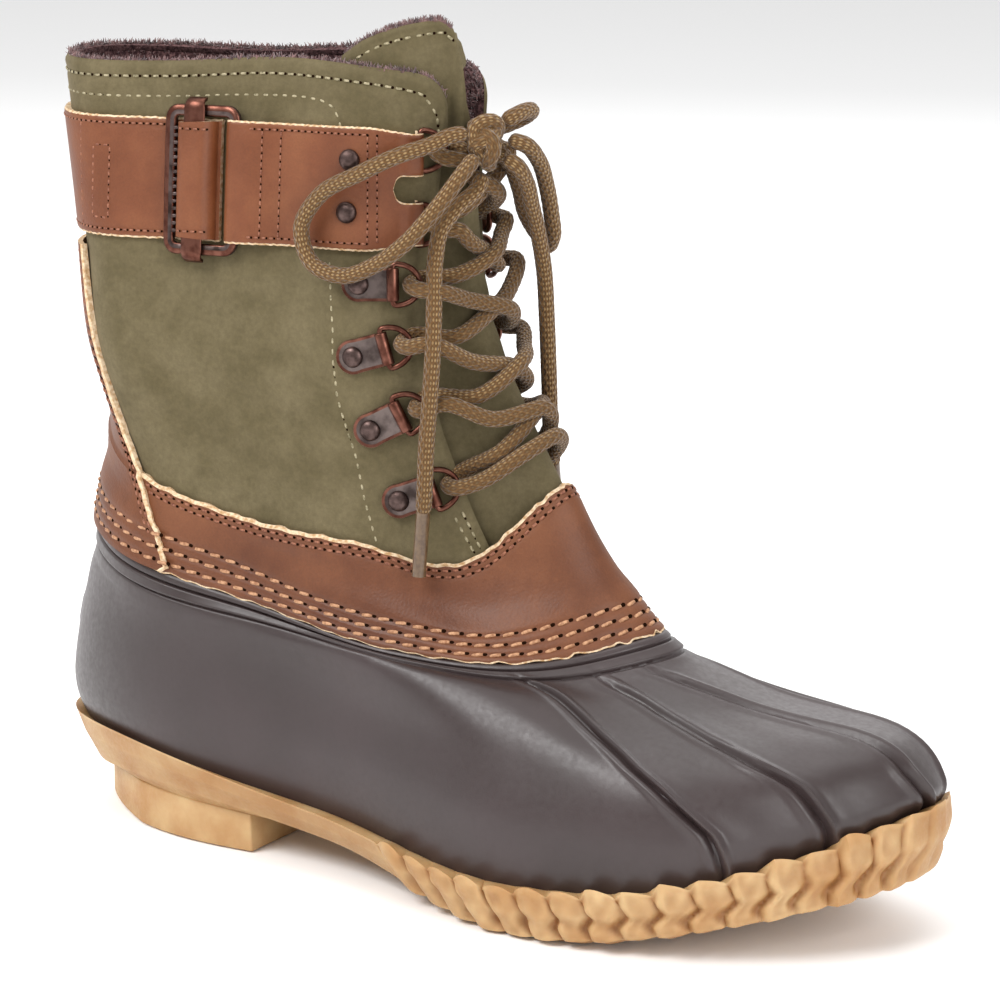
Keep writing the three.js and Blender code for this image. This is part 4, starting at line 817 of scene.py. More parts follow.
def paintEdge(piece, slot, test):  # gives the faces whose UV middle passes the test another material
    mesh = piece.data
    uvs = np.empty(len(mesh.loops) * 2)
    mesh.uv_layers.active.data.foreach_get("uv", uvs)
    uvs = uvs.reshape(-1, 2)
    starts = np.array([p.loop_start for p in mesh.polygons])
    sizes = np.array([p.loop_total for p in mesh.polygons])
    middles = np.add.reduceat(uvs, starts) / sizes[:, None]
    slots = np.where(test(middles[:, 0], middles[:, 1]), slot, 0).astype(np.int32)
    mesh.polygons.foreach_set("material_index", slots)


# ---- rubber shell: one closed skin, outside up to the band and down again inside
shell = {
    "wall": 2.4, "grooves": (4.1, 9.1), "grooveDepth": 1.15, "bandProud": 0.75,
    "patch": (11, 5.2, 2.58, 0.6),  # half width, half height, level and rise of the bare heel patch
    "ribs": [  # level and angle down each ridge over the toe, and how strong it is
        ((4.6, 4.2, 3.6, 3.1, 2.6, 2.1, 1.3, 0.6), (132, 131, 129.5, 129.8, 132.5, 136, 138.5, 140), 1.1),
        ((4.8, 4.6, 4, 3.5, 3.1, 2.65, 2.1, 1.4, 0.6), (149, 148.5, 147.5, 147, 148, 151, 152.5, 154.5, 156), 1),
        ((4.8, 4.7, 4.15, 3.7, 3.3, 2.9, 2.45, 1.4, 0.6), (162, 163, 167.5, 172, 174, 174, 174, 180, 183), 0.9),
        ((4.8, 4.2, 3.5, 2.8, 2.2, 1.4, 0.6), (196, 196, 195, 191, 189, 187, 186), 0.8),
        ((4.8, 4.2, 3.5, 2.8, 2.2, 1.4, 0.6), (212, 211, 210, 208, 207, 206, 205), 0.9),
        ((4.8, 4.2, 3.5, 2.8, 2.2, 1.4, 0.6), (228, 227, 226, 224, 223, 221, 220), 1)],
}
shellColumns = columnLines((0, 112, 1.6), (112, 248, 0.3), (248, 360, 1.6))
bandSteps = np.concatenate((np.arange(0, 10.5, 0.3), [11, 12, 13.5]))
lowerShares = np.linspace(1, 0, 44)[1:]


def bandRelief(below):  # two strips under the top edge, each closed by a groove
    rise = shell["bandProud"] * smoothStep(below, -0.5, 2.2) * (1 - smoothStep(below, 8.9, 9.9))
    for i, groove in enumerate(shell["grooves"]):
        rise = rise - (shell["grooveDepth"] + 0.15 * i) * np.exp(-((below - groove) / (0.42 + 0.06 * i)) ** 2)
    return rise - 0.5 * (1 - smoothStep(below, -0.2, 1.4))


def ribRelief(angle, level, reach):  # pleats: a ridge with a groove and a low ridge on its heel side
    total = np.zeros(angle.size)
    for levels, angles, size in shell["ribs"]:
        centre = np.interp(level, levels[::-1], np.radians(angles[::-1]))
        side = 1 if angles[0] < 180 else -1
        x = (angle - centre) * reach * side
        shoulder = 0.75 + 0.6 * np.exp(-((level - 2.1) / 0.9) ** 2)
        shape = (1.25 * np.exp(-(x / 1.25) ** 2) + 0.75 * np.exp(-((x - 2) / 5.5) ** 2)
                 - 1.15 * np.exp(-((x + 2.3) / 0.85) ** 2) + 0.65 * np.exp(-((x + 5.4) / 1.5) ** 2))
        total += size * shoulder * shape * smoothStep(level, 0.35, 1.5) * (1 - smoothStep(level, 4.35, 4.85))
    return total


def besideRibs(column, level):  # the grid's lines lean with the ribs, so that no ridge is stepped
    tops = np.radians([112] + [angles[0] for _, angles, _ in shell["ribs"]] + [248])
    shifts = [np.zeros(column.size)]
    for levels, angles, _ in shell["ribs"]:
        shifts.append(np.interp(level, levels[::-1], np.radians(angles[::-1])) - math.radians(angles[0]))
    shifts = np.stack(shifts + [np.zeros(column.size)])
    k = np.clip(np.searchsorted(tops, column) - 1, 0, len(tops) - 2)
    pick = np.arange(column.size)
    share = np.clip((column - tops[k]) / (tops[k + 1] - tops[k]), 0, 1)
    return column + shifts[k, pick] + (shifts[k + 1, pick] - shifts[k, pick]) * share


def shellPlace(u, v):
    rows = len(bandSteps) + len(lowerShares) + 12
    angle = picked(shellColumns, u)
    row = np.round((1 - v) * (rows - 1)).astype(int)
    level, depth = np.zeros(angle.size), np.zeros(angle.size)
    topEdge = np.full(angle.size, 5.0)
    bandEnd = levelsFrom(angle, topEdge, bandSteps[-1])
    inBand = row < len(bandSteps)
    level[inBand] = levelsFrom(angle[inBand], topEdge[inBand], bandSteps[row[inBand]])
    inLower = (row >= len(bandSteps)) & (row < len(bandSteps) + len(lowerShares))
    level[inLower] = bandEnd[inLower] * lowerShares[row[inLower] - len(bandSteps)]
    angle = np.where(inLower, besideRibs(angle, level), angle)
    reach = np.linalg.norm(lastPoint(angle + 0.005, level) - lastPoint(angle - 0.005, level), axis=1) / 0.01
    below = np.where(inBand, bandSteps[np.minimum(row, len(bandSteps) - 1)], 20)
    depth += np.where(inBand, bandRelief(below), 0)
    depth += ribRelief(angle, level, reach)
    sideways = (angle - np.where(angle > np.pi, 2 * np.pi, 0)) * reach
    wide, tall, middle, rise = shell["patch"]
    upward = (level - middle) * 31
    corner = np.maximum(np.abs(sideways) / wide, 0) ** 6 + np.abs(upward / tall) ** 6
    depth += rise * (1 - smoothStep(corner, 0.75, 1.25))
    depth += 0.3 * drift(lastPoint(angle, level), 38, 4) * (~inBand)
    inside = row >= len(bandSteps) + len(lowerShares)
    share = (row - len(bandSteps) - len(lowerShares)) / 11
    level = np.where(inside, 5 * share, level)
    depth = np.where(inside, -shell["wall"] + 0.9 * smoothStep(share, 0.95, 1), depth)
    depth = np.where(inside & (share >= 1), -1.2, depth)
    return skin(angle, level, depth)


rowCount = len(bandSteps) + len(lowerShares) + 12
rubberShell = drapedGrid("rubberShell", len(shellColumns) - 1, rowCount - 1, shellPlace, merge=True)
choose(rubberShell)  # the first and last rows meet at the top edge, and the foot closes below
bpy.ops.object.mode_set(mode="EDIT")
bpy.ops.mesh.select_all(action="SELECT")
bpy.ops.mesh.select_non_manifold(extend=False)
bpy.ops.mesh.bridge_edge_loops()
bpy.ops.object.mode_set(mode="OBJECT")
finished(rubberShell, "shell_rubber", "rubber_shell", materials=[shellRubber], sharp=50)
print(f"rubber shell: {len(rubberShell.data.polygons)} faces")

# ---- outsole: the rim's leaning lumps outside, the tread's chevrons below, one closed skin
sole = {
    "pitch": 10.6, "start": 157, "relief": 3.1, "plain": 0.45, "lean": 0.62, "lugDepth": 3,
    "rimRows": 26, "treadRows": 14, "step": 0.72, "plainStep": 2.8,
}


def rimPoint(section, angle, outwards=0.0):
    ahead = sectionPoint(section, angle + 0.01) - sectionPoint(section, angle - 0.01)
    ahead[:, 2] = 0
    ahead = unit(ahead)
    point = sectionPoint(section, angle)
    point[:, 2] = 25 * smooth(section[7], along(angle))
    normal = np.stack([ahead[:, 1], -ahead[:, 0], np.zeros(angle.size)], -1)
    return point + normal * np.reshape(outwards, (-1, 1)), normal


walkAngles = np.linspace(0, np.pi, 3000)  # angle and distance along the outer side's rim
rimLine = rimPoint(rimTop, walkAngles)[0]
walkSteps = np.concatenate(([0], np.cumsum(np.linalg.norm(np.diff(rimLine, axis=0), axis=1))))
rimTotal = walkSteps[-1]
halfSole = np.concatenate((np.arange(0, sole["start"] - 26, sole["plainStep"]),
                           np.arange(sole["start"] - 26, rimTotal, sole["step"]), [rimTotal]))
soleColumns = np.concatenate((halfSole, -halfSole[::-1][1:]))  # walked along the outer side, then the inner


def rimAngle(walk, height):  # the grid's lines lean with the lumps
    size = np.abs(walk)
    lean = sole["lean"] * sole["pitch"] * (1 - height) * smoothStep(size, sole["start"] - 24, sole["start"])
    size = size + lean * (1 - smoothStep(size, rimTotal - 44, rimTotal - 2))
    angle = np.interp(size, walkSteps, walkAngles)
    return np.where(walk >= 0, angle, 2 * np.pi - angle)


def rimLumps(walk, height):  # the strand's shape 0 to 1, how much it counts, and how near the toe
    towardToe = smoothStep(np.abs(walk), rimTotal - 150, rimTotal - 90)
    lower = 1 - smoothStep(height, 0.36, 0.54)  # near the toe a lower row stands between the upper ones
    number = (np.abs(walk) - sole["start"]) / sole["pitch"] + 0.42 * towardToe * lower
    whole = np.floor(number)
    part = number - whole
    strand = np.sqrt(np.clip(1 - (2 * part - 1) ** 2, 0, 1)) * (1 + 0.12 * np.sin(2.4 * whole + 1))
    wedge = np.clip(part / 0.2, 0, 1) * (1.1 - 0.85 * part)  # cut facets nearer the toe
    shape = strand + (wedge - strand) * towardToe * 0.7
    hollow = np.exp(-((part - 0.9) / 0.13) ** 2 - ((height - 0.4) / 0.14) ** 2)
    second = np.exp(-((part - 0.02) / 0.12) ** 2 - ((height - 0.74) / 0.16) ** 2)
    uneven = 1 + 0.22 * towardToe * np.sin(3.7 * whole + 0.6)
    shape = np.clip((shape - 0.5 * hollow + 0.4 * second) * uneven, 0, 1.35)
    between = 0.3 * towardToe * np.exp(-((height - 0.46) / 0.1) ** 2)  # the dip between the two rows
    shape = np.clip(shape - between, 0, 1.35)
    weight = (smoothStep(np.abs(walk), sole["start"] - 4, sole["start"] + 4)
              * (1 - 0.75 * smoothStep(np.abs(walk), rimTotal - 24, rimTotal - 3)))
    return shape, weight, towardToe


def solePlace(u, v):
    tread, rim = sole["treadRows"], sole["rimRows"]
    rows = tread + rim + 5
    walk = picked(soleColumns, u)
    row = np.round(v * (rows - 1)).astype(int)
    height = np.clip((row - tread) / rim, 0, 1)
    angle = rimAngle(walk, height)
    t = along(angle)
    ground = rimPoint(rimLow, angle, -4)[0]
    ground[:, 2] = treadAt(t)
    mirror = rimPoint(rimLow, 2 * np.pi - angle, -4)[0]
    middle = (ground + mirror) / 2
    middle[:, 2] = treadAt(t)
    low, normal = rimPoint(rimLow, angle)
    low[:, 2] = np.maximum(low[:, 2], treadAt(t) + 0.3)
    lip = rimPoint(rimTop, angle)[0]
    waist = rimPoint(rimLow, angle, 1.4)[0] * 0.45 + lip * 0.55
    shape, weight, towardToe = rimLumps(walk, height)
    # up the rim's side through its four lines
    stops = [0, 0.2, 0.58, 1]
    lines = [ground, low, waist, lip]
    side = np.zeros_like(ground)
    for axis in range(3):
        column = np.stack([line[:, axis] for line in lines], -1)
        k = np.clip(np.searchsorted(stops, height, side="right") - 1, 0, 2)
        pick = np.arange(len(k))
        s = (height - np.array(stops)[k]) / np.diff(stops)[k]
        side[:, axis] = column[pick, k] + (column[pick, k + 1] - column[pick, k]) * s
    window = smoothStep(height, 0.02, 0.22) * (1 - 0.45 * smoothStep(height, 0.9, 1))
    bulge = (shape - sole["plain"]) * sole["relief"] * weight * window
    side += normal * bulge[:, None]
    nose = smoothStep(np.abs(walk), rimTotal - 70, rimTotal - 25)
    side += normal * (1.7 * nose * np.sin(np.pi * np.clip(height, 0, 1) ** 0.8))[:, None]
    tip = shape ** 1.5 * (2.9 + 1.2 * towardToe) - 1.2
    side[:, 2] += tip * weight * smoothStep(height, 0.72, 1)
    side[:, 2] += 1.9 * (1 - np.clip(shape, 0, 1)) * weight * (1 - smoothStep(height, 0, 0.2))
    side += normal * (0.35 * drift(side, 7, 8) * weight * window)[:, None]
    inner = skin(angle, 0.95, -0.5)
    floorEdge = skin(angle, 0.02, 0.2) - [0, 0, 0.3]
    floorMiddle = (skin(angle, 0.02, 0.2) + skin(2 * np.pi - angle, 0.02, 0.2)) / 2
    floorMiddle[:, 2] = floorEdge[:, 2]
    # under the rim: chevron lugs, plain under the heel block
    share = np.clip(row / tread, 0, 1)
    under = middle + (ground - middle) * share[:, None]
    q = (under[:, 0] - 6 * np.abs(2 * share - 1)) / sole["pitch"]
    part = q - np.floor(q)
    cut = smoothStep(np.abs(part - 0.5), 0.28, 0.36) * smoothStep(under[:, 0], 112, 122)
    centre = 1 - smoothStep(share, 0.06, 0.12)
    cut = np.maximum(cut, centre * smoothStep(under[:, 0], 112, 122)) * (1 - smoothStep(share, 0.9, 1))
    under[:, 2] += sole["lugDepth"] * cut * (1 - smoothStep(under[:, 0], 268, 276))
    edge = row >= tread
    spot = np.where(edge[:, None], side, under)
    joint = (row == tread)[:, None]
    spot = np.where(joint, side, spot)
    after = row - tread - rim
    lipIn = side * 0.45 + inner * 0.55 + [0, 0, 0.2]
    spot = np.where((after == 1)[:, None], lipIn, spot)
    spot = np.where((after == 2)[:, None], inner, spot)
    spot = np.where((after == 3)[:, None], floorEdge, spot)
    return np.where((after == 4)[:, None], floorMiddle, spot)


soleRows = sole["treadRows"] + sole["rimRows"] + 5
outsole = drapedGrid("gumOutsole", len(soleColumns) - 1, soleRows - 1, solePlace, merge=True)
finished(outsole, "gum_rubber", "outsole", materials=[gumRubber], sharp=42)
print(f"outsole: {len(outsole.data.polygons)} faces")

# ---- heel block: the heel's own outline, raised, its lower edge rounded and grooved across
heel = {"back": 10, "front": 85, "inset": 4, "groove": 4, "grooveHigh": 3, "bevel": 0.9}


def heelReach(x, inner):
    t = np.clip((x / 290 - 0.032) / 0.957, 1e-4, 1)
    angle = np.arccos(1 - 2 * t)
    y = sectionPoint(rimLow, 2 * np.pi - angle if inner else angle)[:, 1]
    return (np.abs(y) - heel["inset"]) * np.minimum(1, (x - heel["back"]) / 30) ** 0.25


clearSelection()
bpy.ops.mesh.primitive_circle_add(vertices=120, radius=1, fill_type="NGON")
heelBlock = bpy.context.active_object
heelBlock.name = heelBlock.data.name = "heelBlock"
share = np.arange(60) / 59
xs = heel["back"] + (heel["front"] - heel["back"]) * share ** 1.7
outline = [(x, -r) for x, r in zip(xs, heelReach(xs, False))]
outline += [(x, r) for x, r in zip(xs[::-1], heelReach(xs[::-1], True))]
for vertex, (x, y) in zip(heelBlock.data.vertices, outline):
    vertex.co = toFrame([(x, y, 0)])[0]
bpy.ops.object.mode_set(mode="EDIT")
bpy.ops.mesh.select_all(action="SELECT")
bpy.ops.mesh.extrude_region_move(TRANSFORM_OT_translate={"value": (0, 0, 0.014)})
bpy.ops.mesh.select_all(action="SELECT")
bpy.ops.mesh.remove_doubles(threshold=1e-5)
bpy.ops.mesh.normals_make_consistent(inside=False)
bpy.ops.object.mode_set(mode="OBJECT")
for vertex in heelBlock.data.vertices:
    if vertex.co.z > 0.007:
        x = vertex.co.x * 1000 + last["heelMiddle"]
        vertex.co.z = (float(treadAt(np.array([(x / 290 - 0.032) / 0.957]).clip(0, 1))[0]) + 0.4) / 1000
        vertex.co.y *= 1.025
withModifiers(heelBlock, ("BEVEL", {"width": heel["bevel"] / 1000, "segments": 3, "limit_method": "ANGLE",
                                    "angle_limit": rad(50)}))
for i in range(1, 5):
    clearSelection()
    bpy.ops.mesh.primitive_cube_add(size=1, location=((heel["back"] + 75 / 4.5 * (i - 0.1) - 47.5) / 1000, 0, 0),
                                    scale=(heel["groove"] / 1000, (24 if i == 1 else 36) / 1000,
                                           2 * heel["grooveHigh"] / 1000))
    cutter = bpy.context.active_object
    bpy.ops.object.transform_apply(location=True, scale=True)
    withModifiers(cutter, ("BEVEL", {"width": 0.0012, "segments": 3}))
    withModifiers(heelBlock, ("BOOLEAN", {"object": cutter, "operation": "DIFFERENCE"}))
    bpy.data.objects.remove(cutter)
finished(heelBlock, "gum_rubber", "heel_block", materials=[gumRubber], sharp=35)

# ---- insole: a thin foam bed faced with the boot's fleece
insole = {"inset": 4.2, "thick": 5, "rows": 12}
soleAngles = columnLines((0, 360, 3))


def insolePlace(u, v):
    angle = picked(soleAngles, u)
    row = np.round(v * (insole["rows"] + 3)).astype(int)
    edge = skin(angle, 0, -insole["inset"])
    other = skin(2 * np.pi - angle, 0, -insole["inset"])
    middle = (edge + other) / 2
    share = np.clip((row - 3) / insole["rows"], 0, 1)
    spot = edge + (middle - edge) * np.where(row < 1, 1, share)[:, None]
    dish = 1.4 * np.sin(np.pi * share / 2) * (1 - smoothStep(edge[:, 0], 70, 130) * 0.6)
    pile = 0.35 * drift(spot, 6, 12)
    spot[:, 2] += np.select([row <= 1, row == 2], [0.1, 2.6], insole["thick"] - 0.5 - dish + pile)
    return spot


footBed = drapedGrid("fleeceFootBed", len(soleAngles) - 1, insole["rows"] + 3, insolePlace, merge=True)
finished(footBed, "lining", "insole", materials=[fleece], sharp=60)

# ---- leather panel: from over the shell's band to the raw edge on the nubuck
panel = {"thick": 1.7, "stitchRows": (2.5, 6.4, 10.3), "edgeRows": (2.1, 4.1), "columns": 330}
footRows = np.linspace(-0.9, 13, 30)  # distances from the foot, then from the top edge
topRows = np.array([7, 6.2, 5.4, 4.8, 4.3, 3.8, 3.3, 2.8, 2.4, 2, 1.6, 1.3, 1, 0.75, 0.5, 0.25, 0])
middleRows = 9


def panelDepth(angle, level, fromFoot, fromTop):
    depth = 0.2 + 0.9 * (1 - smoothStep(fromFoot, 12, 22))
    for row in panel["stitchRows"]:
        depth -= 0.42 * np.exp(-((fromFoot - row) / 0.85) ** 2)
    for row in panel["edgeRows"]:
        depth -= 0.22 * np.exp(-((fromTop - row) / 0.7) ** 2)
    depth += (0.4 * drift(lastPoint(angle, level), 34, 21)
              * smoothStep(fromFoot, 6, 16) * smoothStep(fromTop, 3, 9))
    depth -= 0.9 * (1 - smoothStep(fromTop, 0, 1.1)) + 0.5 * (1 - smoothStep(fromFoot, -0.9, 0))
    return depth


def panelPlace(u, v):
    angle = u * 2 * np.pi
    rows = len(footRows) + middleRows + len(topRows)
    row = np.round(v * (rows - 1)).astype(int)
    wobble = 0.3 * np.sin(angle * 37) + 0.26 * np.sin(angle * 61 + 1) + 0.16 * np.sin(angle * 83 + 2)
    fromFoot = footRows[np.minimum(row, len(footRows) - 1)]
    fromFoot = fromFoot + wobble * (1 - smoothStep(fromFoot, -0.9, 1.6))
    low = np.where(fromFoot < 0, levelsFrom(angle, 5, np.abs(fromFoot), -1),
                   levelsFrom(angle, 5, np.abs(fromFoot), 1))
    fromTop = topRows[np.clip(row - len(footRows) - middleRows, 0, len(topRows) - 1)]
    high = levelsFrom(angle, 6 + 0.012 * wobble, fromTop, -1)
    share = np.clip((row - len(footRows) + 1) / (middleRows + 1), 0, 1)
    level = low * (1 - share) + high * share
    return skin(angle, level, panelDepth(angle, level, *lineHeights(angle, level)))


def lineHeights(angle, level):  # distances above the panel's foot and below its top edge
    whole = np.linspace(4.9, 6.06, 26)
    line = np.stack([lastPoint(angle, l) for l in whole])
    walked = np.concatenate((np.zeros((1, angle.size)),
                             np.cumsum(np.linalg.norm(np.diff(line, axis=0), axis=2), axis=0)))
    at = (level - whole[0]) / (whole[1] - whole[0])
    i = np.clip(at.astype(int), 0, len(whole) - 2)
    pick = np.arange(angle.size)
    here = walked[i, pick] + (walked[i + 1, pick] - walked[i, pick]) * (at - i)

    def atLevel(value):
        spot = (value - whole[0]) / (whole[1] - whole[0])
        k = int(spot)
        return walked[k] + (walked[k + 1] - walked[k]) * (spot - k)

    return here - atLevel(5.0), atLevel(6.0) - here


panelTotal = len(footRows) + middleRows + len(topRows) - 1
leatherPanel = drapedGrid("leatherPanel", panel["columns"], panelTotal, panelPlace, merge=True)
paintEdge(leatherPanel, 1, lambda u, v: (v > 1 - 4 / panelTotal) | (v < 1 / panelTotal))
leatherPanel.data.materials.append(panelLeather)
leatherPanel.data.materials.append(rawEdge)
withModifiers(leatherPanel, ("SOLIDIFY", {"thickness": panel["thick"] / 1000, "offset": -1,
                                          "material_offset_rim": 1, "use_even_offset": True}))
finished(leatherPanel, "leather", "leather_panel", sharp=40)
print("panel ready")

# ---- backstay: strip up the heel over the panel, then on the nubuck to under the strap
backstay = {
    "levels": (5.0, 5.5, 6.02, 6.25, 6.5, 6.8, 7.1, 7.72), "edges": (60, 57.5, 50.5, 45, 43, 43, 41.5, 38.5),
    "rows": 70, "columns": 66, "thick": 1.5, "sewn": (2.2, 4.1),
}


def backstayEdge(level):
    return np.radians(np.interp(level, backstay["levels"], backstay["edges"]))


def backstayDepth(angle, level):
    lying = smoothStep(level, 6.0, 6.3)
    under = panelDepth(angle, np.minimum(level, 6), *lineHeights(angle, np.minimum(level, 6)))
    return (under + backstay["thick"]) * (1 - lying) + 0.1 * lying


def backstayPlace(u, v):
    level = 5.0 + (backstay["levels"][-1] - 5.0) * v
    share = np.sin(np.pi / 2 * (2 * u - 1))
    corner = 1 - 0.03 * (1 - smoothStep(v, 0, 0.03))
    angle = backstayEdge(level) * share * corner + 0.003 * np.sin(level * 40) * share
    depth = backstayDepth(angle, level)
    reach = np.linalg.norm(lastPoint(angle + 0.005, level) - lastPoint(angle - 0.005, level), axis=1) / 0.01
    fromEdge = (1 - np.abs(share)) * backstayEdge(level) * reach
    depth -= 0.7 * (1 - smoothStep(fromEdge, 0, 1))
    for row in backstay["sewn"]:
        depth -= 0.22 * np.exp(-((fromEdge - row) / 0.7) ** 2)
    depth += 0.35 * drift(lastPoint(angle, level), 30, 31)
    level = level - 0.02 * (1 - v) * smoothStep(v, 0.02, 0)
    return skin(angle, level, depth)


heelStrip = drapedGrid("heelStrip", backstay["columns"], backstay["rows"], backstayPlace)
paintEdge(heelStrip, 1, lambda u, v: (u < 4.2 / backstay["columns"]) | (u > 1 - 4.2 / backstay["columns"]))
heelStrip.data.materials.append(panelLeather)
heelStrip.data.materials.append(rawEdge)
withModifiers(heelStrip, ("SOLIDIFY", {"thickness": backstay["thick"] / 1000, "offset": -1,
                                       "material_offset_rim": 1}))
finished(heelStrip, "leather", "backstay", sharp=40)
print("backstay ready")

# ---- shaft: nubuck outside, fleece inside, open down the front
shaft = {
    "throat": ((5.6, 5.8, 6.2, 6.6, 7, 7.5, 8, 8.65, 9), (142, 142, 142, 143, 147, 152, 158, 160, 160)),
    "foot": 5.72, "depth": -2.1, "wall": 3, "collarRow": 3.6, "columns": 300, "rows": 96,
    "creases": [  # from and to as (angle, level), depth and half width in millimetres
        ((62, 6.9), (112, 6.55), 0.9, 6), ((75, 7.15), (118, 7.35), 0.7, 7), ((50, 6.6), (96, 6.3), 0.6, 6),
        ((298, 6.9), (250, 6.55), 0.9, 6), ((285, 7.2), (244, 7.3), 0.7, 7), ((96, 6.75), (126, 6.95), 0.5, 5),
        ((48, 7.3), (78, 7.5), 0.5, 7), ((312, 7.3), (282, 7.55), 0.5, 7)],
}


def throatEdge(level):
    return np.radians(np.interp(level, *shaft["throat"]))


def creaseRelief(angle, level, creases):  # soft troughs with a low ridge beside each
    spot = lastPoint(angle, level)
    total = np.zeros(len(spot))
    for (a, la), (b, lb), deep, wide in creases:
        start, end = lastPoint(np.radians([a, b]), np.array([la, lb], float))
        line = end - start
        size = np.linalg.norm(line)
        ahead = line / size
        share = (spot - start) @ ahead / size
        away = spot - start - np.outer(share * size, ahead)
        side = away[:, 2]
        gap = np.linalg.norm(away, axis=1)
        fade = smoothStep(share, -0.15, 0.25) * (1 - smoothStep(share, 0.75, 1.15))
        total += fade * deep * (0.55 * np.exp(-((gap - wide * 1.3) / wide) ** 2) * (side > 0)
                                - np.exp(-(gap / wide) ** 2))
    return total


def collarDrop(share):  # the collar's front corners are rounded
    past = np.clip((np.abs(share) - 0.9) / 0.1, 0, 1)
    return 0.34 * (1 - np.sqrt(np.clip(1 - past * past, 0, 1)))


def shaftLevel(share, v):
    top = 9 - collarDrop(share)
    return shaft["foot"] + (top - shaft["foot"]) * v


def shaftPlace(u, v):
    share = np.sign(2 * u - 1) * np.abs(2 * u - 1) ** 0.92
    rows = 1 - (1 - v) ** 1.25
    level = shaftLevel(share, rows)
    angle = throatEdge(level) * share
    reach = np.linalg.norm(lastPoint(angle + 0.005, level) - lastPoint(angle - 0.005, level), axis=1) / 0.01
    fromTop = (9 - collarDrop(share) - level) * 28
    fromEdge = (1 - np.abs(share)) * throatEdge(level) * reach
    border = np.minimum(fromTop, fromEdge)
    depth = np.full(angle.size, float(shaft["depth"]))
    depth += creaseRelief(angle, level, shaft["creases"])
    depth += 0.35 * drift(lastPoint(angle, level), 42, 51)
    depth -= 0.35 * np.exp(-((border - shaft["collarRow"]) / 0.9) ** 2)  # pulled in by its stitches
    depth -= 1.1 * (1 - smoothStep(border, 0, 1.6))
    return skin(angle, level, depth)


shaftPiece = drapedGrid("nubuckShaft", shaft["columns"], shaft["rows"], shaftPlace)
shaftPiece.data.materials.append(nubuck)
shaftPiece.data.materials.append(fleece)
withModifiers(shaftPiece, ("SOLIDIFY", {"thickness": shaft["wall"] / 1000, "offset": -1, "material_offset": 1,
                                        "material_offset_rim": 1}))
finished(shaftPiece, "nubuck", "shaft", sharp=50)
print("shaft ready")

# ---- fleece lining below the shaft, down to the insole
lining = {"columns": 120, "rows": 40, "thick": 1}


def liningPlace(u, v):
    angle, level = u * 2 * np.pi, 0.25 + 5.75 * v
    depth = -3.3 - 1.9 * smoothStep(level, 5.0, 5.75) + 0.3 * drift(lastPoint(angle, level), 6, 61)
    return skin(angle, level, depth)


liningPiece = drapedGrid("fleeceLining", lining["columns"], lining["rows"], liningPlace, merge=True)
withModifiers(liningPiece, ("SOLIDIFY", {"thickness": lining["thick"] / 1000, "offset": 1}))
finished(liningPiece, "lining", materials=[fleece], sharp=60)

# ---- tongue: under both throat edges, crowned between them, standing above the collar
tongue = {
    "at": (5.62, 6, 6.6, 7.2, 7.7, 8.1, 8.45, 8.8, 9.25, 9.75),
    "outer": (131, 128, 130, 132, 131, 128, 125, 121, 117, 116),
    "inner": (229, 230, 224, 214, 205, 194, 178, 168, 163, 160),
    "crown": (-2.4, -2.2, -1.6, -1.4, -1.4, -1.5, -1.8, -2.4, -3.2, -3.6),
    "under": -5.85, "wall": 2.6, "foot": 5.62, "columns": 90, "rows": 120, "sewn": 3.4,
    "creases": [((150, 6.4), (205, 6.5), 0.7, 4), ((150, 6.8), (200, 6.9), 0.6, 4),
                ((148, 7.3), (196, 7.2), 0.7, 4.5), ((145, 7.75), (188, 7.7), 0.6, 4)],
}


def tongueTop(share):
    return 9.05 + 0.63 * np.sin(np.pi / 2 * 1.1 * share) - 0.12 * smoothStep(share, 0.85, 1)


def tongueAngle(share, level):
    outer, inner = (np.interp(level, tongue["at"], tongue[side]) for side in ("outer", "inner"))
    return np.radians(outer + (inner - outer) * share)


def tongueDepth(angle, level):
    middle = np.radians(180 - 14 * smoothStep(level, 7.9, 9))
    gap = np.where(angle < middle, middle - throatEdge(level), 2 * np.pi - throatEdge(level) - middle)
    fromMiddle = np.abs(angle - middle) / np.maximum(gap, 0.05)
    crown = np.interp(level, tongue["at"], tongue["crown"])
    return tongue["under"] + (crown - tongue["under"]) * (1 - smoothStep(fromMiddle, 0.15, 0.8))


def tonguePlace(u, v):
    share = u
    top = tongueTop(share)
    level = tongue["foot"] + (top - tongue["foot"]) * v
    angle = tongueAngle(share, level)
    depth = tongueDepth(angle, level) + creaseRelief(angle, level, tongue["creases"])
    depth += 0.25 * drift(lastPoint(angle, level), 20, 71)
    fromTop = (top - level) * 28
    depth -= 0.3 * np.exp(-((fromTop - tongue["sewn"]) / 0.8) ** 2) + 0.8 * (1 - smoothStep(fromTop, 0, 1.4))
    return skin(angle, level, depth)


tonguePiece = drapedGrid("nubuckTongue", tongue["columns"], tongue["rows"], tonguePlace)
tonguePiece.data.materials.append(nubuck)
tonguePiece.data.materials.append(fleece)
withModifiers(tonguePiece, ("SOLIDIFY", {"thickness": tongue["wall"] / 1000, "offset": -1,
                                         "material_offset": 1}))
finished(tonguePiece, "nubuck", "tongue", sharp=50)
print("tongue ready")

# ---- strap: two half bands that part round the front notch, each lug rolled round its ring
strapLook = {
    "thick": 1.6, "sewnIn": 2.1, "taper": 0.08, "roll": 2.15, "rollForward": 1.45,
    "rollSteps": 9, "rootAt": 141.2, "lug": 147, "pitch": 2.15,
}


def frontDepth(angle):  # the front piece: folded over the buckle's bar, then flat
    bar = -1.9 + 5.3 * np.sin(np.pi / 2 * np.clip((angle - 90.6) / 2.8, 0, 1)) ** 0.6
    return bar * (1 - smoothStep(angle, 96, 108)) + 0.25 * np.exp(-((angle - 103.5) / 9) ** 2)


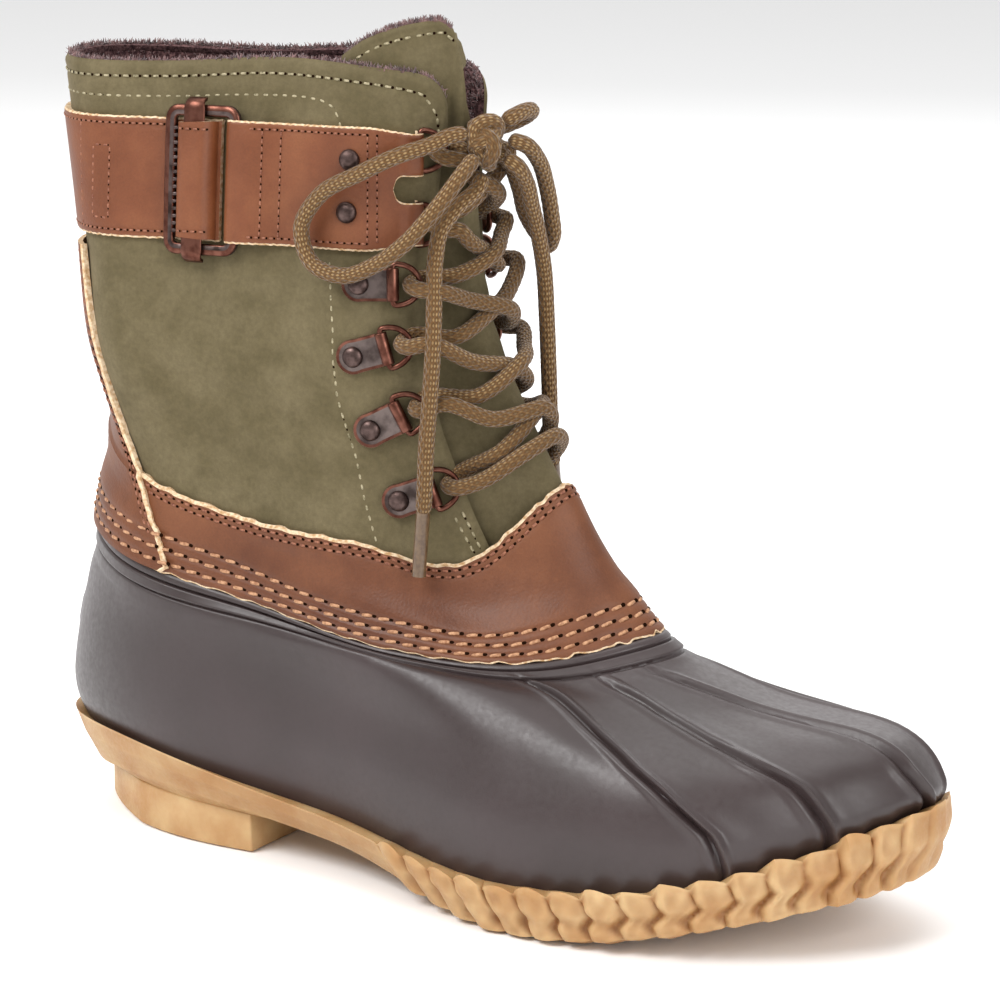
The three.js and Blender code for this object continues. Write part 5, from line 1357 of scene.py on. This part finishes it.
def strapHalf(name, columns, rows, angles, upper, depthOf, sign=1):
    # angles in degrees toward the lug; the last columns go round the ring's bar
    plain = columns - strapLook["rollSteps"]

    def place(u, v):
        column = np.round(u * columns).astype(int)
        share = np.clip(column / plain, 0, 1)
        turn = np.clip((column - plain) / strapLook["rollSteps"], 0, 1) * np.pi
        angle = angles[0] + (angles[1] - angles[0]) * share
        toRoot = (angle - strapLook["rootAt"]) * 1.12  # millimetres past the notch's round root
        half = strap["notch"] / 2
        gap = np.where(toRoot > half, half, np.sqrt(np.clip(half ** 2 - (half - toRoot) ** 2, 0, None)))
        gap = np.where(toRoot > 0, gap, 0)
        wide = strap["width"] / 2 * (1 - strapLook["taper"] * smoothStep(angle, 132, strapLook["lug"]))
        wide = wide + 0.12 * np.sin(angle * 3.1 + upper * 2) + 0.08 * np.sin(angle * 7.3)
        inward = 0.5 - 0.5 * np.cos(np.pi * (v if upper else 1 - v))  # finer rows beside both edges
        across = gap + (wide - gap) * inward
        offset = across * (1 if upper else -1)
        toEdge = np.minimum(wide - across, np.where(toRoot > 0, across - gap, 9))
        depth = depthOf(angle) + 1.62 * smoothStep(angle, 142.6, 146.6)
        depth = depth - 0.55 * (1 - smoothStep(toEdge, 0, 0.9))
        depth = depth - 0.2 * np.exp(-((wide - across - strapLook["sewnIn"]) / 0.7) ** 2)
        spot, normal = strapPoint(np.radians(angle * sign), offset, depth, normals=True)
        ahead = strapPoint(np.radians((angle + 0.4) * sign), offset, depth) - spot
        ahead = unit(ahead - normal * (ahead * normal).sum(1)[:, None])
        centre = spot + ahead * strapLook["rollForward"] - normal * strapLook["roll"]
        rolled = (centre + normal * (strapLook["roll"] * np.cos(turn))[:, None]
                  + ahead * (strapLook["roll"] * np.sin(turn))[:, None])
        return np.where((column > plain)[:, None], rolled, spot)

    half = drapedGrid(name, columns, rows, place)
    root = plain / columns * (strapLook["rootAt"] - angles[0]) / (angles[1] - angles[0])

    def bareEdge(u, v):
        w = v if upper else 1 - v
        return (w > 1 - 1.9 / rows) | ((w < 1.6 / rows) & (u > root))

    paintEdge(half, 1, bareEdge)
    half.data.materials.append(strapLeather)
    half.data.materials.append(rawEdge)
    return half


def strapPiece(name, node, columns, angles, depthOf, sign=1, extra=()):
    halves = [strapHalf(f"{name}{side}", columns, 18, angles, upper, depthOf, sign)
              for side, upper in (("Low", False), ("High", True))]
    piece = joined(name, [*halves, *extra])
    mergeDoubles(piece, 2e-5)
    if sign < 0:
        choose(piece)
        bpy.ops.object.mode_set(mode="EDIT")
        bpy.ops.mesh.select_all(action="SELECT")
        bpy.ops.mesh.flip_normals()
        bpy.ops.object.mode_set(mode="OBJECT")
    withModifiers(piece, ("SOLIDIFY", {"thickness": strapLook["thick"] / 1000, "offset": -1,
                                       "material_offset": 1, "material_offset_rim": 1}))
    return finished(piece, "leather", node, sharp=45)


strapPiece("strapFront", "strap_front", 76, (90.6, 147), frontDepth)
strapPiece("strapWrap", "strap_wrap", 230, (-89.5, 147), lambda angle: 0.12 * np.sin(angle * 0.11), sign=-1)
print("strap ready")

# loop: the wrap's leather folded over the slider's bar
loop = {"from": 78.3, "to": 88.7, "half": 16.6, "rise": 6.4, "columns": 30, "rows": 34}


def loopPlace(u, v):
    angle = loop["from"] + (loop["to"] - loop["from"]) * u
    side = np.abs(2 * u - 1)
    offset = loop["half"] * (2 * v - 1) * (1 - 0.015 * np.cos(np.pi * u))
    depth = -1.2 + loop["rise"] * (1 - side ** 3.4) ** 0.5
    depth = depth + 0.25 * np.cos(offset / 5) * (1 - side)
    return strapPoint(np.radians(angle), offset, depth)


strapLoop = drapedGrid("strapLoop", loop["columns"], loop["rows"], loopPlace)
strapLoop.data.materials.append(strapLeather)
strapLoop.data.materials.append(rawEdge)
withModifiers(strapLoop, ("SOLIDIFY", {"thickness": 0.0014, "offset": -1, "material_offset": 1,
                                       "material_offset_rim": 1}))
finished(strapLoop, "leather", "strap_loop", sharp=45)

# buckle frame: a stamped flat ring, its rounded edges rubbed to copper, teeth along its rear bar
buckle = {
    "middle": 85.0, "halfWide": 11.75, "halfHigh": 21.5, "corner": 4.2, "bar": 3.3, "thick": 1.7,
    "base": 0.3, "perDegree": 1.175, "around": 132, "teeth": 15, "toothPitch": 2.1,
}


def buckleLine(share, inset):  # rounded rectangle, this far inside the frame's outer edge
    wide, high = buckle["halfWide"] - inset, buckle["halfHigh"] - inset
    corner = max(0.8, buckle["corner"] - inset)
    flatX, flatY = wide - corner, high - corner
    sides = np.array([2 * flatY, corner * np.pi / 2, 2 * flatX, corner * np.pi / 2] * 2)
    ends = np.concatenate(([0], np.cumsum(sides))) / sides.sum()
    x, y = np.zeros(share.size), np.zeros(share.size)
    k = np.clip(np.searchsorted(ends, share % 1, side="right") - 1, 0, 7)
    s = (share % 1 - ends[k]) / (ends[k + 1] - ends[k])
    bend = s * np.pi / 2
    x = np.select([k == 0, k == 1, k == 2, k == 3, k == 4, k == 5, k == 6],
                  [wide + 0 * s, flatX + corner * np.cos(bend), flatX - 2 * flatX * s, -flatX - corner * np.sin(bend),
                   -wide + 0 * s, -flatX - corner * np.cos(bend), -flatX + 2 * flatX * s],
                  flatX + corner * np.sin(bend))
    y = np.select([k == 0, k == 1, k == 2, k == 3, k == 4, k == 5, k == 6],
                  [-flatY + 2 * flatY * s, flatY + corner * np.sin(bend), high + 0 * s, flatY + corner * np.cos(bend),
                   flatY - 2 * flatY * s, -flatY - corner * np.sin(bend), -high + 0 * s],
                  -flatY - corner * np.cos(bend))
    return x, y


bevel = 0.45
barProfile = [(0, 0), (0, 1.25), (bevel, 1.7), (1.65, 1.75), (3.3 - bevel, 1.7), (3.3, 1.25), (3.3, 0), (0, 0)]


def bucklePlace(u, v):
    i = np.round(v * (len(barProfile) - 1)).astype(int)
    inset, rise = np.array(barProfile)[i].T
    x, y = np.zeros(u.size), np.zeros(u.size)
    for value in np.unique(inset):
        mask = inset == value
        x[mask], y[mask] = buckleLine(u[mask], value)
    return strapPoint(np.radians(buckle["middle"] + x / buckle["perDegree"]), y, buckle["base"] + rise)


frameRing = drapedGrid("buckleFrame", buckle["around"], len(barProfile) - 1, bucklePlace, merge=True)
frameRing.data.materials.append(darkSteel)
frameRing.data.materials.append(antiqueCopper)
paintEdge(frameRing, 1, lambda u, v: ((v > 0.15) & (v < 0.4)) | ((v > 0.58) & (v < 0.7)))
toothParts = []
for i in range(buckle["teeth"]):
    y = (i - (buckle["teeth"] - 1) / 2) * buckle["toothPitch"]
    at = strapPoint(np.radians([buckle["middle"] - (buckle["halfWide"] - buckle["bar"] - 0.5)
                                / buckle["perDegree"]]), [y], [1.2])
    clearSelection()
    bpy.ops.mesh.primitive_cone_add(vertices=6, radius1=0.0009, radius2=0.0003, depth=0.0018)
    tooth = bpy.context.active_object
    bpy.ops.object.mode_set(mode="EDIT")
    bpy.ops.mesh.bevel(offset=0.0001, segments=1)
    bpy.ops.object.mode_set(mode="OBJECT")
    tip = seatFrame(rad(buckle["middle"] - 8), 8.2, 0) @ turned("Y", 90)
    spin = Matrix(tip.tolist()).to_3x3().to_4x4()
    tooth.data.transform(Matrix.Translation(toFrame(at)[0]) @ spin)
    tooth.data.materials.append(darkSteel)
    toothParts.append(tooth)
buckleFrame = joined("buckleFrame", [frameRing, *toothParts])
choose(buckleFrame)
bpy.ops.object.mode_set(mode="EDIT")
bpy.ops.mesh.select_all(action="SELECT")
bpy.ops.mesh.normals_make_consistent(inside=False)
bpy.ops.object.mode_set(mode="OBJECT")
finished(buckleFrame, "dark_metal", "buckle_frame", sharp=50)

# slider: a curved strip under the loop, its ends curled over the frame's long bars
slider = {"middle": 83.5, "half": 3.4, "end": 23.8, "crown": 0.9}


def sliderPlace(u, v):
    offset = slider["end"] * (2 * v - 1)
    past = np.clip((np.abs(offset) - 20.6) / 3.2, 0, 1)
    wide = slider["half"] * (1 - 0.18 * past)
    angle = slider["middle"] + wide * (2 * u - 1) / buckle["perDegree"]
    depth = 3.4 - 3.0 * (1 - np.sqrt(np.clip(1 - past ** 2, 0, 1))) + slider["crown"] * (1 - (2 * u - 1) ** 2)
    return strapPoint(np.radians(angle), offset, depth)


sliderPiece = drapedGrid("buckleSlider", 12, 60, sliderPlace)
withModifiers(sliderPiece, ("SOLIDIFY", {"thickness": 0.0012, "offset": -1}),
              ("BEVEL", {"width": 0.0003, "segments": 2, "limit_method": "ANGLE", "angle_limit": rad(50)}))
finished(sliderPiece, "copper", "buckle_slider", materials=[antiqueCopper], sharp=50)
print("buckle ready")


# ---- clips, rivets and rings: each modelled once in millimetres and copied to its places
def placedCopy(template, name, matrix):
    piece = template.copy()
    piece.data = template.data.copy()
    piece.name = piece.data.name = name
    bpy.context.scene.collection.objects.link(piece)
    toPlace = Matrix.Scale(0.001, 4) @ Matrix.Translation((-last["heelMiddle"], 0, 0)) @ Matrix(matrix.tolist())
    piece.data.transform(toPlace)
    return piece


clip = {"back": 5, "front": 9.6, "sideFront": 4.85, "thick": 1.2, "rim": 0.85, "sunk": 0.35}
clearSelection()
bpy.ops.mesh.primitive_circle_add(vertices=48, radius=clip["back"], fill_type="NGON")
plate = bpy.context.active_object
for vertex in plate.data.vertices:  # the round back stays, the front half becomes straight sides
    if vertex.co.x > 1e-4:
        side = vertex.co.y / clip["back"]
        reach = vertex.co.x / clip["back"]
        vertex.co.x = clip["front"] * min(1, reach * 1.6)
        vertex.co.y = clip["sideFront"] * max(-1, min(1, side * (1.0 if reach * 1.6 > 1 else 9)))
bpy.ops.object.mode_set(mode="EDIT")
bpy.ops.mesh.select_all(action="SELECT")
bpy.ops.mesh.extrude_region_move(TRANSFORM_OT_translate={"value": (0, 0, clip["thick"])})
bpy.ops.mesh.inset(thickness=clip["rim"])
bpy.ops.transform.translate(value=(0, 0, -clip["sunk"]))
bpy.ops.mesh.inset(thickness=0.12)
bpy.ops.object.mode_set(mode="OBJECT")
plate.data.materials.append(antiqueCopper)
plate.data.materials.append(plateSteel)
for face in plate.data.polygons:
    if face.normal.z > 0.9 and abs(face.center.z - (clip["thick"] - clip["sunk"])) < 0.02:
        face.material_index = 1
choose(plate)
bpy.ops.object.mode_set(mode="EDIT")
bpy.ops.mesh.select_all(action="SELECT")
bpy.ops.mesh.normals_make_consistent(inside=False)
bpy.ops.object.mode_set(mode="OBJECT")
withModifiers(plate, ("BEVEL", {"width": 0.22, "segments": 2, "limit_method": "ANGLE", "angle_limit": rad(50)}))
clearSelection()
bpy.ops.mesh.primitive_cylinder_add(vertices=28, radius=hardware["tubeRadius"], depth=9.5,
                                    location=(hardware["clipReach"], 0, hardware["tubeRadius"]),
                                    rotation=(rad(90), 0, 0))
hinge = bpy.context.active_object
bpy.ops.object.transform_apply(location=True, rotation=True)
withModifiers(hinge, ("BEVEL", {"width": 0.35, "segments": 3, "limit_method": "ANGLE", "angle_limit": rad(50)}))
hinge.data.materials.append(antiqueCopper)
clipTemplate = joined("clipTemplate", [plate, hinge])

clearSelection()
bpy.ops.mesh.primitive_uv_sphere_add(segments=30, ring_count=18, radius=1)
rivetTemplate = bpy.context.active_object
for vertex in rivetTemplate.data.vertices:  # flat underneath, a low dome with a rolled edge above
    reach = math.hypot(vertex.co.x, vertex.co.y)
    if vertex.co.z >= -1e-4:
        vertex.co.z = 0.25 + 1.4 * (1 - min(1, reach) ** 2.6) ** 0.62
    else:
        vertex.co.z = -0.6
    vertex.co.x *= 3.05
    vertex.co.y *= 3.05
rivetTemplate.name = rivetTemplate.data.name = "rivetTemplate"
rivetTemplate.data.materials.append(domeSteel)

half, reach, wireRadius = 5.9, 7.75, hardware["wire"]
turn = np.linspace(-np.pi / 2, np.pi / 2, 41)
arc = np.stack([reach * np.cos(turn) ** 0.86, half * np.sin(turn), 0 * turn], -1)
straight = np.stack([np.zeros(15), np.linspace(half, -half, 17)[1:-1], np.zeros(15)], -1)
ringLine = np.concatenate((arc, straight))
for _ in range(2):
    ringLine = (np.roll(ringLine, 1, axis=0) + 2 * ringLine + np.roll(ringLine, -1, axis=0)) / 4
ringTemplate = tube("ringTemplate", ringLine, wireRadius, sides=14, closed=True)
for vertex in ringTemplate.data.vertices:  # back to millimetres round the hinge
    vertex.co = [vertex.co.x * 1000 + last["heelMiddle"], vertex.co.y * 1000, vertex.co.z * 1000]
ringTemplate.data.materials.append(antiqueCopper)

for (mark, row), (seat, ringFrame) in rings.items():
    side = mark.capitalize()
    ring = placedCopy(ringTemplate, f"laceRing{side}{row}", ringFrame)
    finished(ring, "copper", f"lace_ring_{mark}_{row}", sharp=60)
    if row > 4:
        continue
    plateCopy = placedCopy(clipTemplate, f"ringClip{side}{row}", seat)
    finished(plateCopy, "dark_metal", f"ring_clip_{mark}_{row}", sharp=35)
    dome = placedCopy(rivetTemplate, f"clipRivet{side}{row}", seat @ moved(0, 0, clip["thick"] - clip["sunk"]))
    finished(dome, "dark_metal", f"clip_rivet_{mark}_{row}", sharp=60)
for i, (offset, angle) in enumerate(((-6.7, 126.5), (8.2, 127.0)), 1):
    level = strapLevel(rad(angle), offset)[0]
    dome = placedCopy(rivetTemplate, f"strapRivetOuter{i}", seatFrame(rad(angle), level, 0.3))
    finished(dome, "dark_metal", f"strap_rivet_outer_{i}", sharp=60)
for template in (clipTemplate, rivetTemplate, ringTemplate):
    bpy.data.objects.remove(template)
print("hardware ready")

# ---- seams: one stitch and a flat dark disc of painted shadow for its awl hole, copied along every row
def framesAlong(points, normals, pitch, tilt=0, sink=0.0):
    walked = np.concatenate(([0], np.cumsum(np.linalg.norm(np.diff(points, axis=0), axis=1))))
    count = max(1, int(walked[-1] / pitch))
    spots = (np.arange(count) + 0.5) * walked[-1] / count
    at = np.stack([np.interp(spots, walked, points[:, i]) for i in range(3)], -1)
    ahead = np.stack([np.interp(spots + 0.4, walked, points[:, i]) for i in range(3)], -1) - \
        np.stack([np.interp(spots - 0.4, walked, points[:, i]) for i in range(3)], -1)
    out = unit(np.stack([np.interp(spots, walked, normals[:, i]) for i in range(3)], -1))
    ahead = unit(ahead - out * (ahead * out).sum(1)[:, None])
    side = np.cross(out, ahead)
    found = []
    for i in range(count):
        matrix = np.eye(4)
        swing = rad(tilt)
        matrix[:3, 0] = ahead[i] * math.cos(swing) + side[i] * math.sin(swing)
        matrix[:3, 1] = np.cross(out[i], matrix[:3, 0])
        matrix[:3, 2] = out[i]
        matrix[:3, 3] = at[i] + out[i] * sink
        found.append(matrix)
    return found


def stitchTemplate(long, wide, hole):
    clearSelection()
    bpy.ops.mesh.primitive_uv_sphere_add(segments=8, ring_count=6, radius=1)
    stitch = bpy.context.active_object
    for vertex in stitch.data.vertices:  # laid along x, its ends pulled down into their holes
        x, y, z = vertex.co.z, vertex.co.x, vertex.co.y
        body = (1 - abs(x) ** 4) ** 0.25 / max(0.05, math.sqrt(1 - x * x)) if abs(x) < 0.99 else 1
        vertex.co = (x * long / 2, y * wide / 2 * body, z * wide * 0.42 * body + 0.12 - 0.34 * wide * x * x)
    clearSelection()
    # the awl hole: a flat dark disc beside the stitch, painted shadow of the hole
    bpy.ops.mesh.primitive_uv_sphere_add(segments=7, ring_count=4, radius=1)
    holeShadowDisc = bpy.context.active_object
    for vertex in holeShadowDisc.data.vertices:
        vertex.co = (vertex.co.x * hole / 2 + long / 2 + hole * 0.32, vertex.co.y * hole * 0.42, vertex.co.z * 0.16)
    return joined("stitchTemplate", [stitch, holeShadowDisc])


def sewn(name, slot, yarn, frames, long, wide, hole):
    template = stitchTemplate(long, wide, hole)
    yarnFaces = 48  # the stitch comes first in the joined mesh, its painted hole shadow after it
    slots = [1 if i < yarnFaces else 0 for i in range(len(template.data.polygons))] * len(frames)
    points, faces, _ = copiesOf(template, frames)
    bpy.data.objects.remove(template)
    piece = meshPiece(name, toFrame(points), faces, [paintedHoleShadow, yarn], slots)
    return finished(piece, slot, sharp=180)


def skinLine(angles, levels, depthOf, count=700):  # a fine line on the last with its normals
    share = np.linspace(0, 1, count)
    known = np.linspace(0, 1, len(angles))
    angle = np.interp(share, known, np.radians(angles))
    level = np.interp(share, known, np.broadcast_to(levels, len(angles)))
    return skin(angle, level, depthOf(angle, level)), directions(angle, level)[2]


# panel: three heavy tan rows over the shell, two fine rust rows under the raw edge
bottomFrames, topFrames = [], []
ring = np.linspace(0, 2 * np.pi, 1600)


def leatherTop(angle, level):
    inStrip = np.abs(np.where(angle > np.pi, angle - 2 * np.pi, angle)) < backstayEdge(level)
    base = panelDepth(angle, level, *lineHeights(angle, level))
    return np.where(inStrip, backstayDepth(angle, level), base)


for row in panel["stitchRows"]:
    level = levelsFrom(ring, 5, row, 1)
    line = skin(ring, level, leatherTop(ring, level))
    bottomFrames += framesAlong(line, directions(ring, level)[2], 5.3, tilt=9, sink=0.1)
for row in panel["edgeRows"]:
    level = levelsFrom(ring, 6, row, -1)
    show = np.abs(np.where(ring > np.pi, ring - 2 * np.pi, ring)) > backstayEdge(level)
    line = skin(ring, level, leatherTop(ring, level))[show]
    topFrames += framesAlong(line, directions(ring, level)[2][show], 3.0, sink=0.05)
sewn("panelStitches", "leather", tanThread, bottomFrames, 3.6, 1.1, 1.55)
for sign in (1, -1):
    for row in backstay["sewn"]:
        level = np.linspace(5.42, 7.7, 500)
        edge = backstayEdge(level)
        reach = np.linalg.norm(lastPoint(edge + 0.005, level) - lastPoint(edge - 0.005, level), axis=1) / 0.01
        angle = sign * (edge - row / reach)
        line = skin(angle, level, backstayDepth(angle, level) - 0.1)
        topFrames += framesAlong(line, directions(angle, level)[2], 3.0, sink=0.05)
sewn("panelEdgeStitches", "leather", rustThread, topFrames, 1.85, 0.8, 1.1)

# strap: fine rust rows along both edges, across the folds, and the box behind the buckle
strapFrames = []


def strapRow(angles, offsets, depthOf):
    share = np.linspace(0, 1, 400)
    known = np.linspace(0, 1, len(angles))
    angle, offset = np.interp(share, known, angles), np.interp(share, known, offsets)
    points, normals = strapPoint(np.radians(angle), offset, depthOf(angle), normals=True)
    return framesAlong(points, normals, strapLook["pitch"], sink=0.0)


flat = lambda angle: 0 * angle - 0.1
for offset in (-15.4, 15.4):
    strapFrames += strapRow((-139, 74), (offset, offset), flat)
    strapFrames += strapRow((98, 133), (offset, offset), lambda a: frontDepth(a) - 0.1)
for angle in (101.5, 106, 133, 136):
    strapFrames += strapRow((angle, angle), (-15.4, 15.4), lambda a: frontDepth(a) - 0.05)
strapFrames += strapRow((46.5, 46.5), (-15.4, 15.4), flat)
for corner in (((52.5, 58.5), (8.8, 8.8)), ((58.5, 58.5), (8.8, -12.2)), ((58.5, 52.5), (-12.2, -12.2)),
               ((52.5, 52.5), (-12.2, 8.8))):
    strapFrames += strapRow(*corner, flat)
for end in (-14.6, 14.6):
    share = np.linspace(0.12, 0.88, 60)
    angle = loop["from"] + (loop["to"] - loop["from"]) * share
    points = strapPoint(np.radians(angle), end, -1.25 + loop["rise"] * (1 - np.abs(2 * share - 1) ** 3.4) ** 0.5)
    normals = np.cross(np.gradient(points, axis=0), np.array([0, 0, 1.0]))
    strapFrames += framesAlong(points, unit(normals), strapLook["pitch"])
sewn("strapStitches", "leather", rustThread, strapFrames, 1.35, 0.62, 0.8)

# shaft and tongue: olive rows along the collar, the eyestay, the throat's foot and the tongue's top
oliveFrames = []


def shaftSkin(angle, level):
    return creaseRelief(angle, level, shaft["creases"]) + shaft["depth"] + 0.35 * drift(
        lastPoint(angle, level), 42, 51) - 0.25


collarLine = ((41, 57, 71, 84, 97, 110, 122, 134, 142.5, 148, 152, 154.5, 155.8, 156.2),
              (8.875, 8.875, 8.875, 8.875, 8.875, 8.87, 8.87, 8.87, 8.86, 8.84, 8.77, 8.7, 8.62, 8.5))
lowerLine = ((43, 63, 76, 88, 101, 111, 116, 119.5, 121.5, 122.7),
             (8.735, 8.735, 8.735, 8.735, 8.73, 8.73, 8.72, 8.69, 8.63, 8.56))
for sign in (1, -1):
    for angles, levels in (collarLine, lowerLine,
                           ((119.5, 119.5, 118.5, 115.5, 115.5, 115, 114, 113.5),
                            (7.76, 7.6, 7.2, 6.82, 6.5, 6.42, 6.27, 6.02)),
                           ((137, 137.5, 138), (6.24, 6.12, 6.02)), ((139.4, 139.8, 140), (6.25, 6.13, 6.02))):
        angles = [sign * a for a in angles]
        if levels[0] > 8.7:  # both collar rows run on round the heel
            angles, levels = [sign * 0.0, *angles], (levels[0], *levels)
        points, normals = skinLine(angles, levels, shaftSkin)
        oliveFrames += framesAlong(points, normals, 3.1, sink=0.05)
share = np.linspace(0.1, 0.985, 300)
level = levelsFrom(tongueAngle(share, tongueTop(share)), tongueTop(share), np.full(300, tongue["sewn"]), -1)
angle = tongueAngle(share, level)
oliveFrames += framesAlong(skin(angle, level, tongueDepth(angle, level) - 0.25), directions(angle, level)[2], 3.1,
                           sink=0.1)
sewn("nubuckStitches", "nubuck", oliveThread, oliveFrames, 1.9, 0.75, 1.0)
print("stitches ready")

# ---- loose pile: small tapered tufts along the collar, the tongue's top and the lining seen inside
pile = {"length": (1, 2.4), "width": 0.36, "collar": 2300, "inside": 2600, "tongue": 900}
clearSelection()
bpy.ops.mesh.primitive_cone_add(vertices=3, radius1=1.1, radius2=0.15, depth=1, location=(0, 0, 0.5))
tuft = bpy.context.active_object
bpy.ops.object.transform_apply(location=True)
bpy.ops.object.mode_set(mode="EDIT")
bpy.ops.mesh.select_all(action="SELECT")
bpy.ops.mesh.subdivide(number_cuts=1)
bpy.ops.object.mode_set(mode="OBJECT")
draw = np.random.default_rng(17)
tuftFrames = []


def addTufts(points, leaning):
    for point, lean in zip(points, leaning):
        size = draw.uniform(*pile["length"])
        aim = unit(lean + draw.normal(size=3) * 0.45)
        side = unit(np.cross(aim, draw.normal(size=3)))
        wide = pile["width"] * draw.uniform(0.6, 1.2)
        matrix = np.eye(4)
        matrix[:3, 0], matrix[:3, 1], matrix[:3, 2] = side * wide, np.cross(aim, side) * wide, aim * size
        matrix[:3, 3] = point - aim * 0.4
        tuftFrames.append(matrix)


share = draw.uniform(-0.99, 0.99, pile["collar"])
level = 9 - collarDrop(share) - draw.uniform(0, 0.02, share.size)
angle = throatEdge(level) * share
out = directions(angle, level)[2]
addTufts(skin(angle, level, draw.uniform(-4.9, -3.4, share.size)), [0, 0, 1.0] - out * 0.35)
share = draw.uniform(-0.99, 0.99, pile["inside"])
level = 9 - collarDrop(share) - draw.uniform(0, 0.45, share.size)
angle = throatEdge(level) * share
out = directions(angle, level)[2]
addTufts(skin(angle, level, np.full(share.size, -5.0)), -out + [0, 0, 0.7])
share = draw.uniform(0.02, 0.99, pile["tongue"])
level = tongueTop(share) - 0.01
angle = tongueAngle(share, level)
depth = tongueDepth(angle, level) - draw.uniform(0.9, 2.6, share.size)
addTufts(skin(angle, level, depth), [0, 0, 1.0] - directions(angle, level)[2] * 0.3)
points, faces, slots = copiesOf(tuft, tuftFrames)
bpy.data.objects.remove(tuft)
finished(meshPiece("looseFleece", toFrame(points), faces, [pileTips]), "lining", sharp=180)
print(f"fleece: {len(tuftFrames)} tufts")
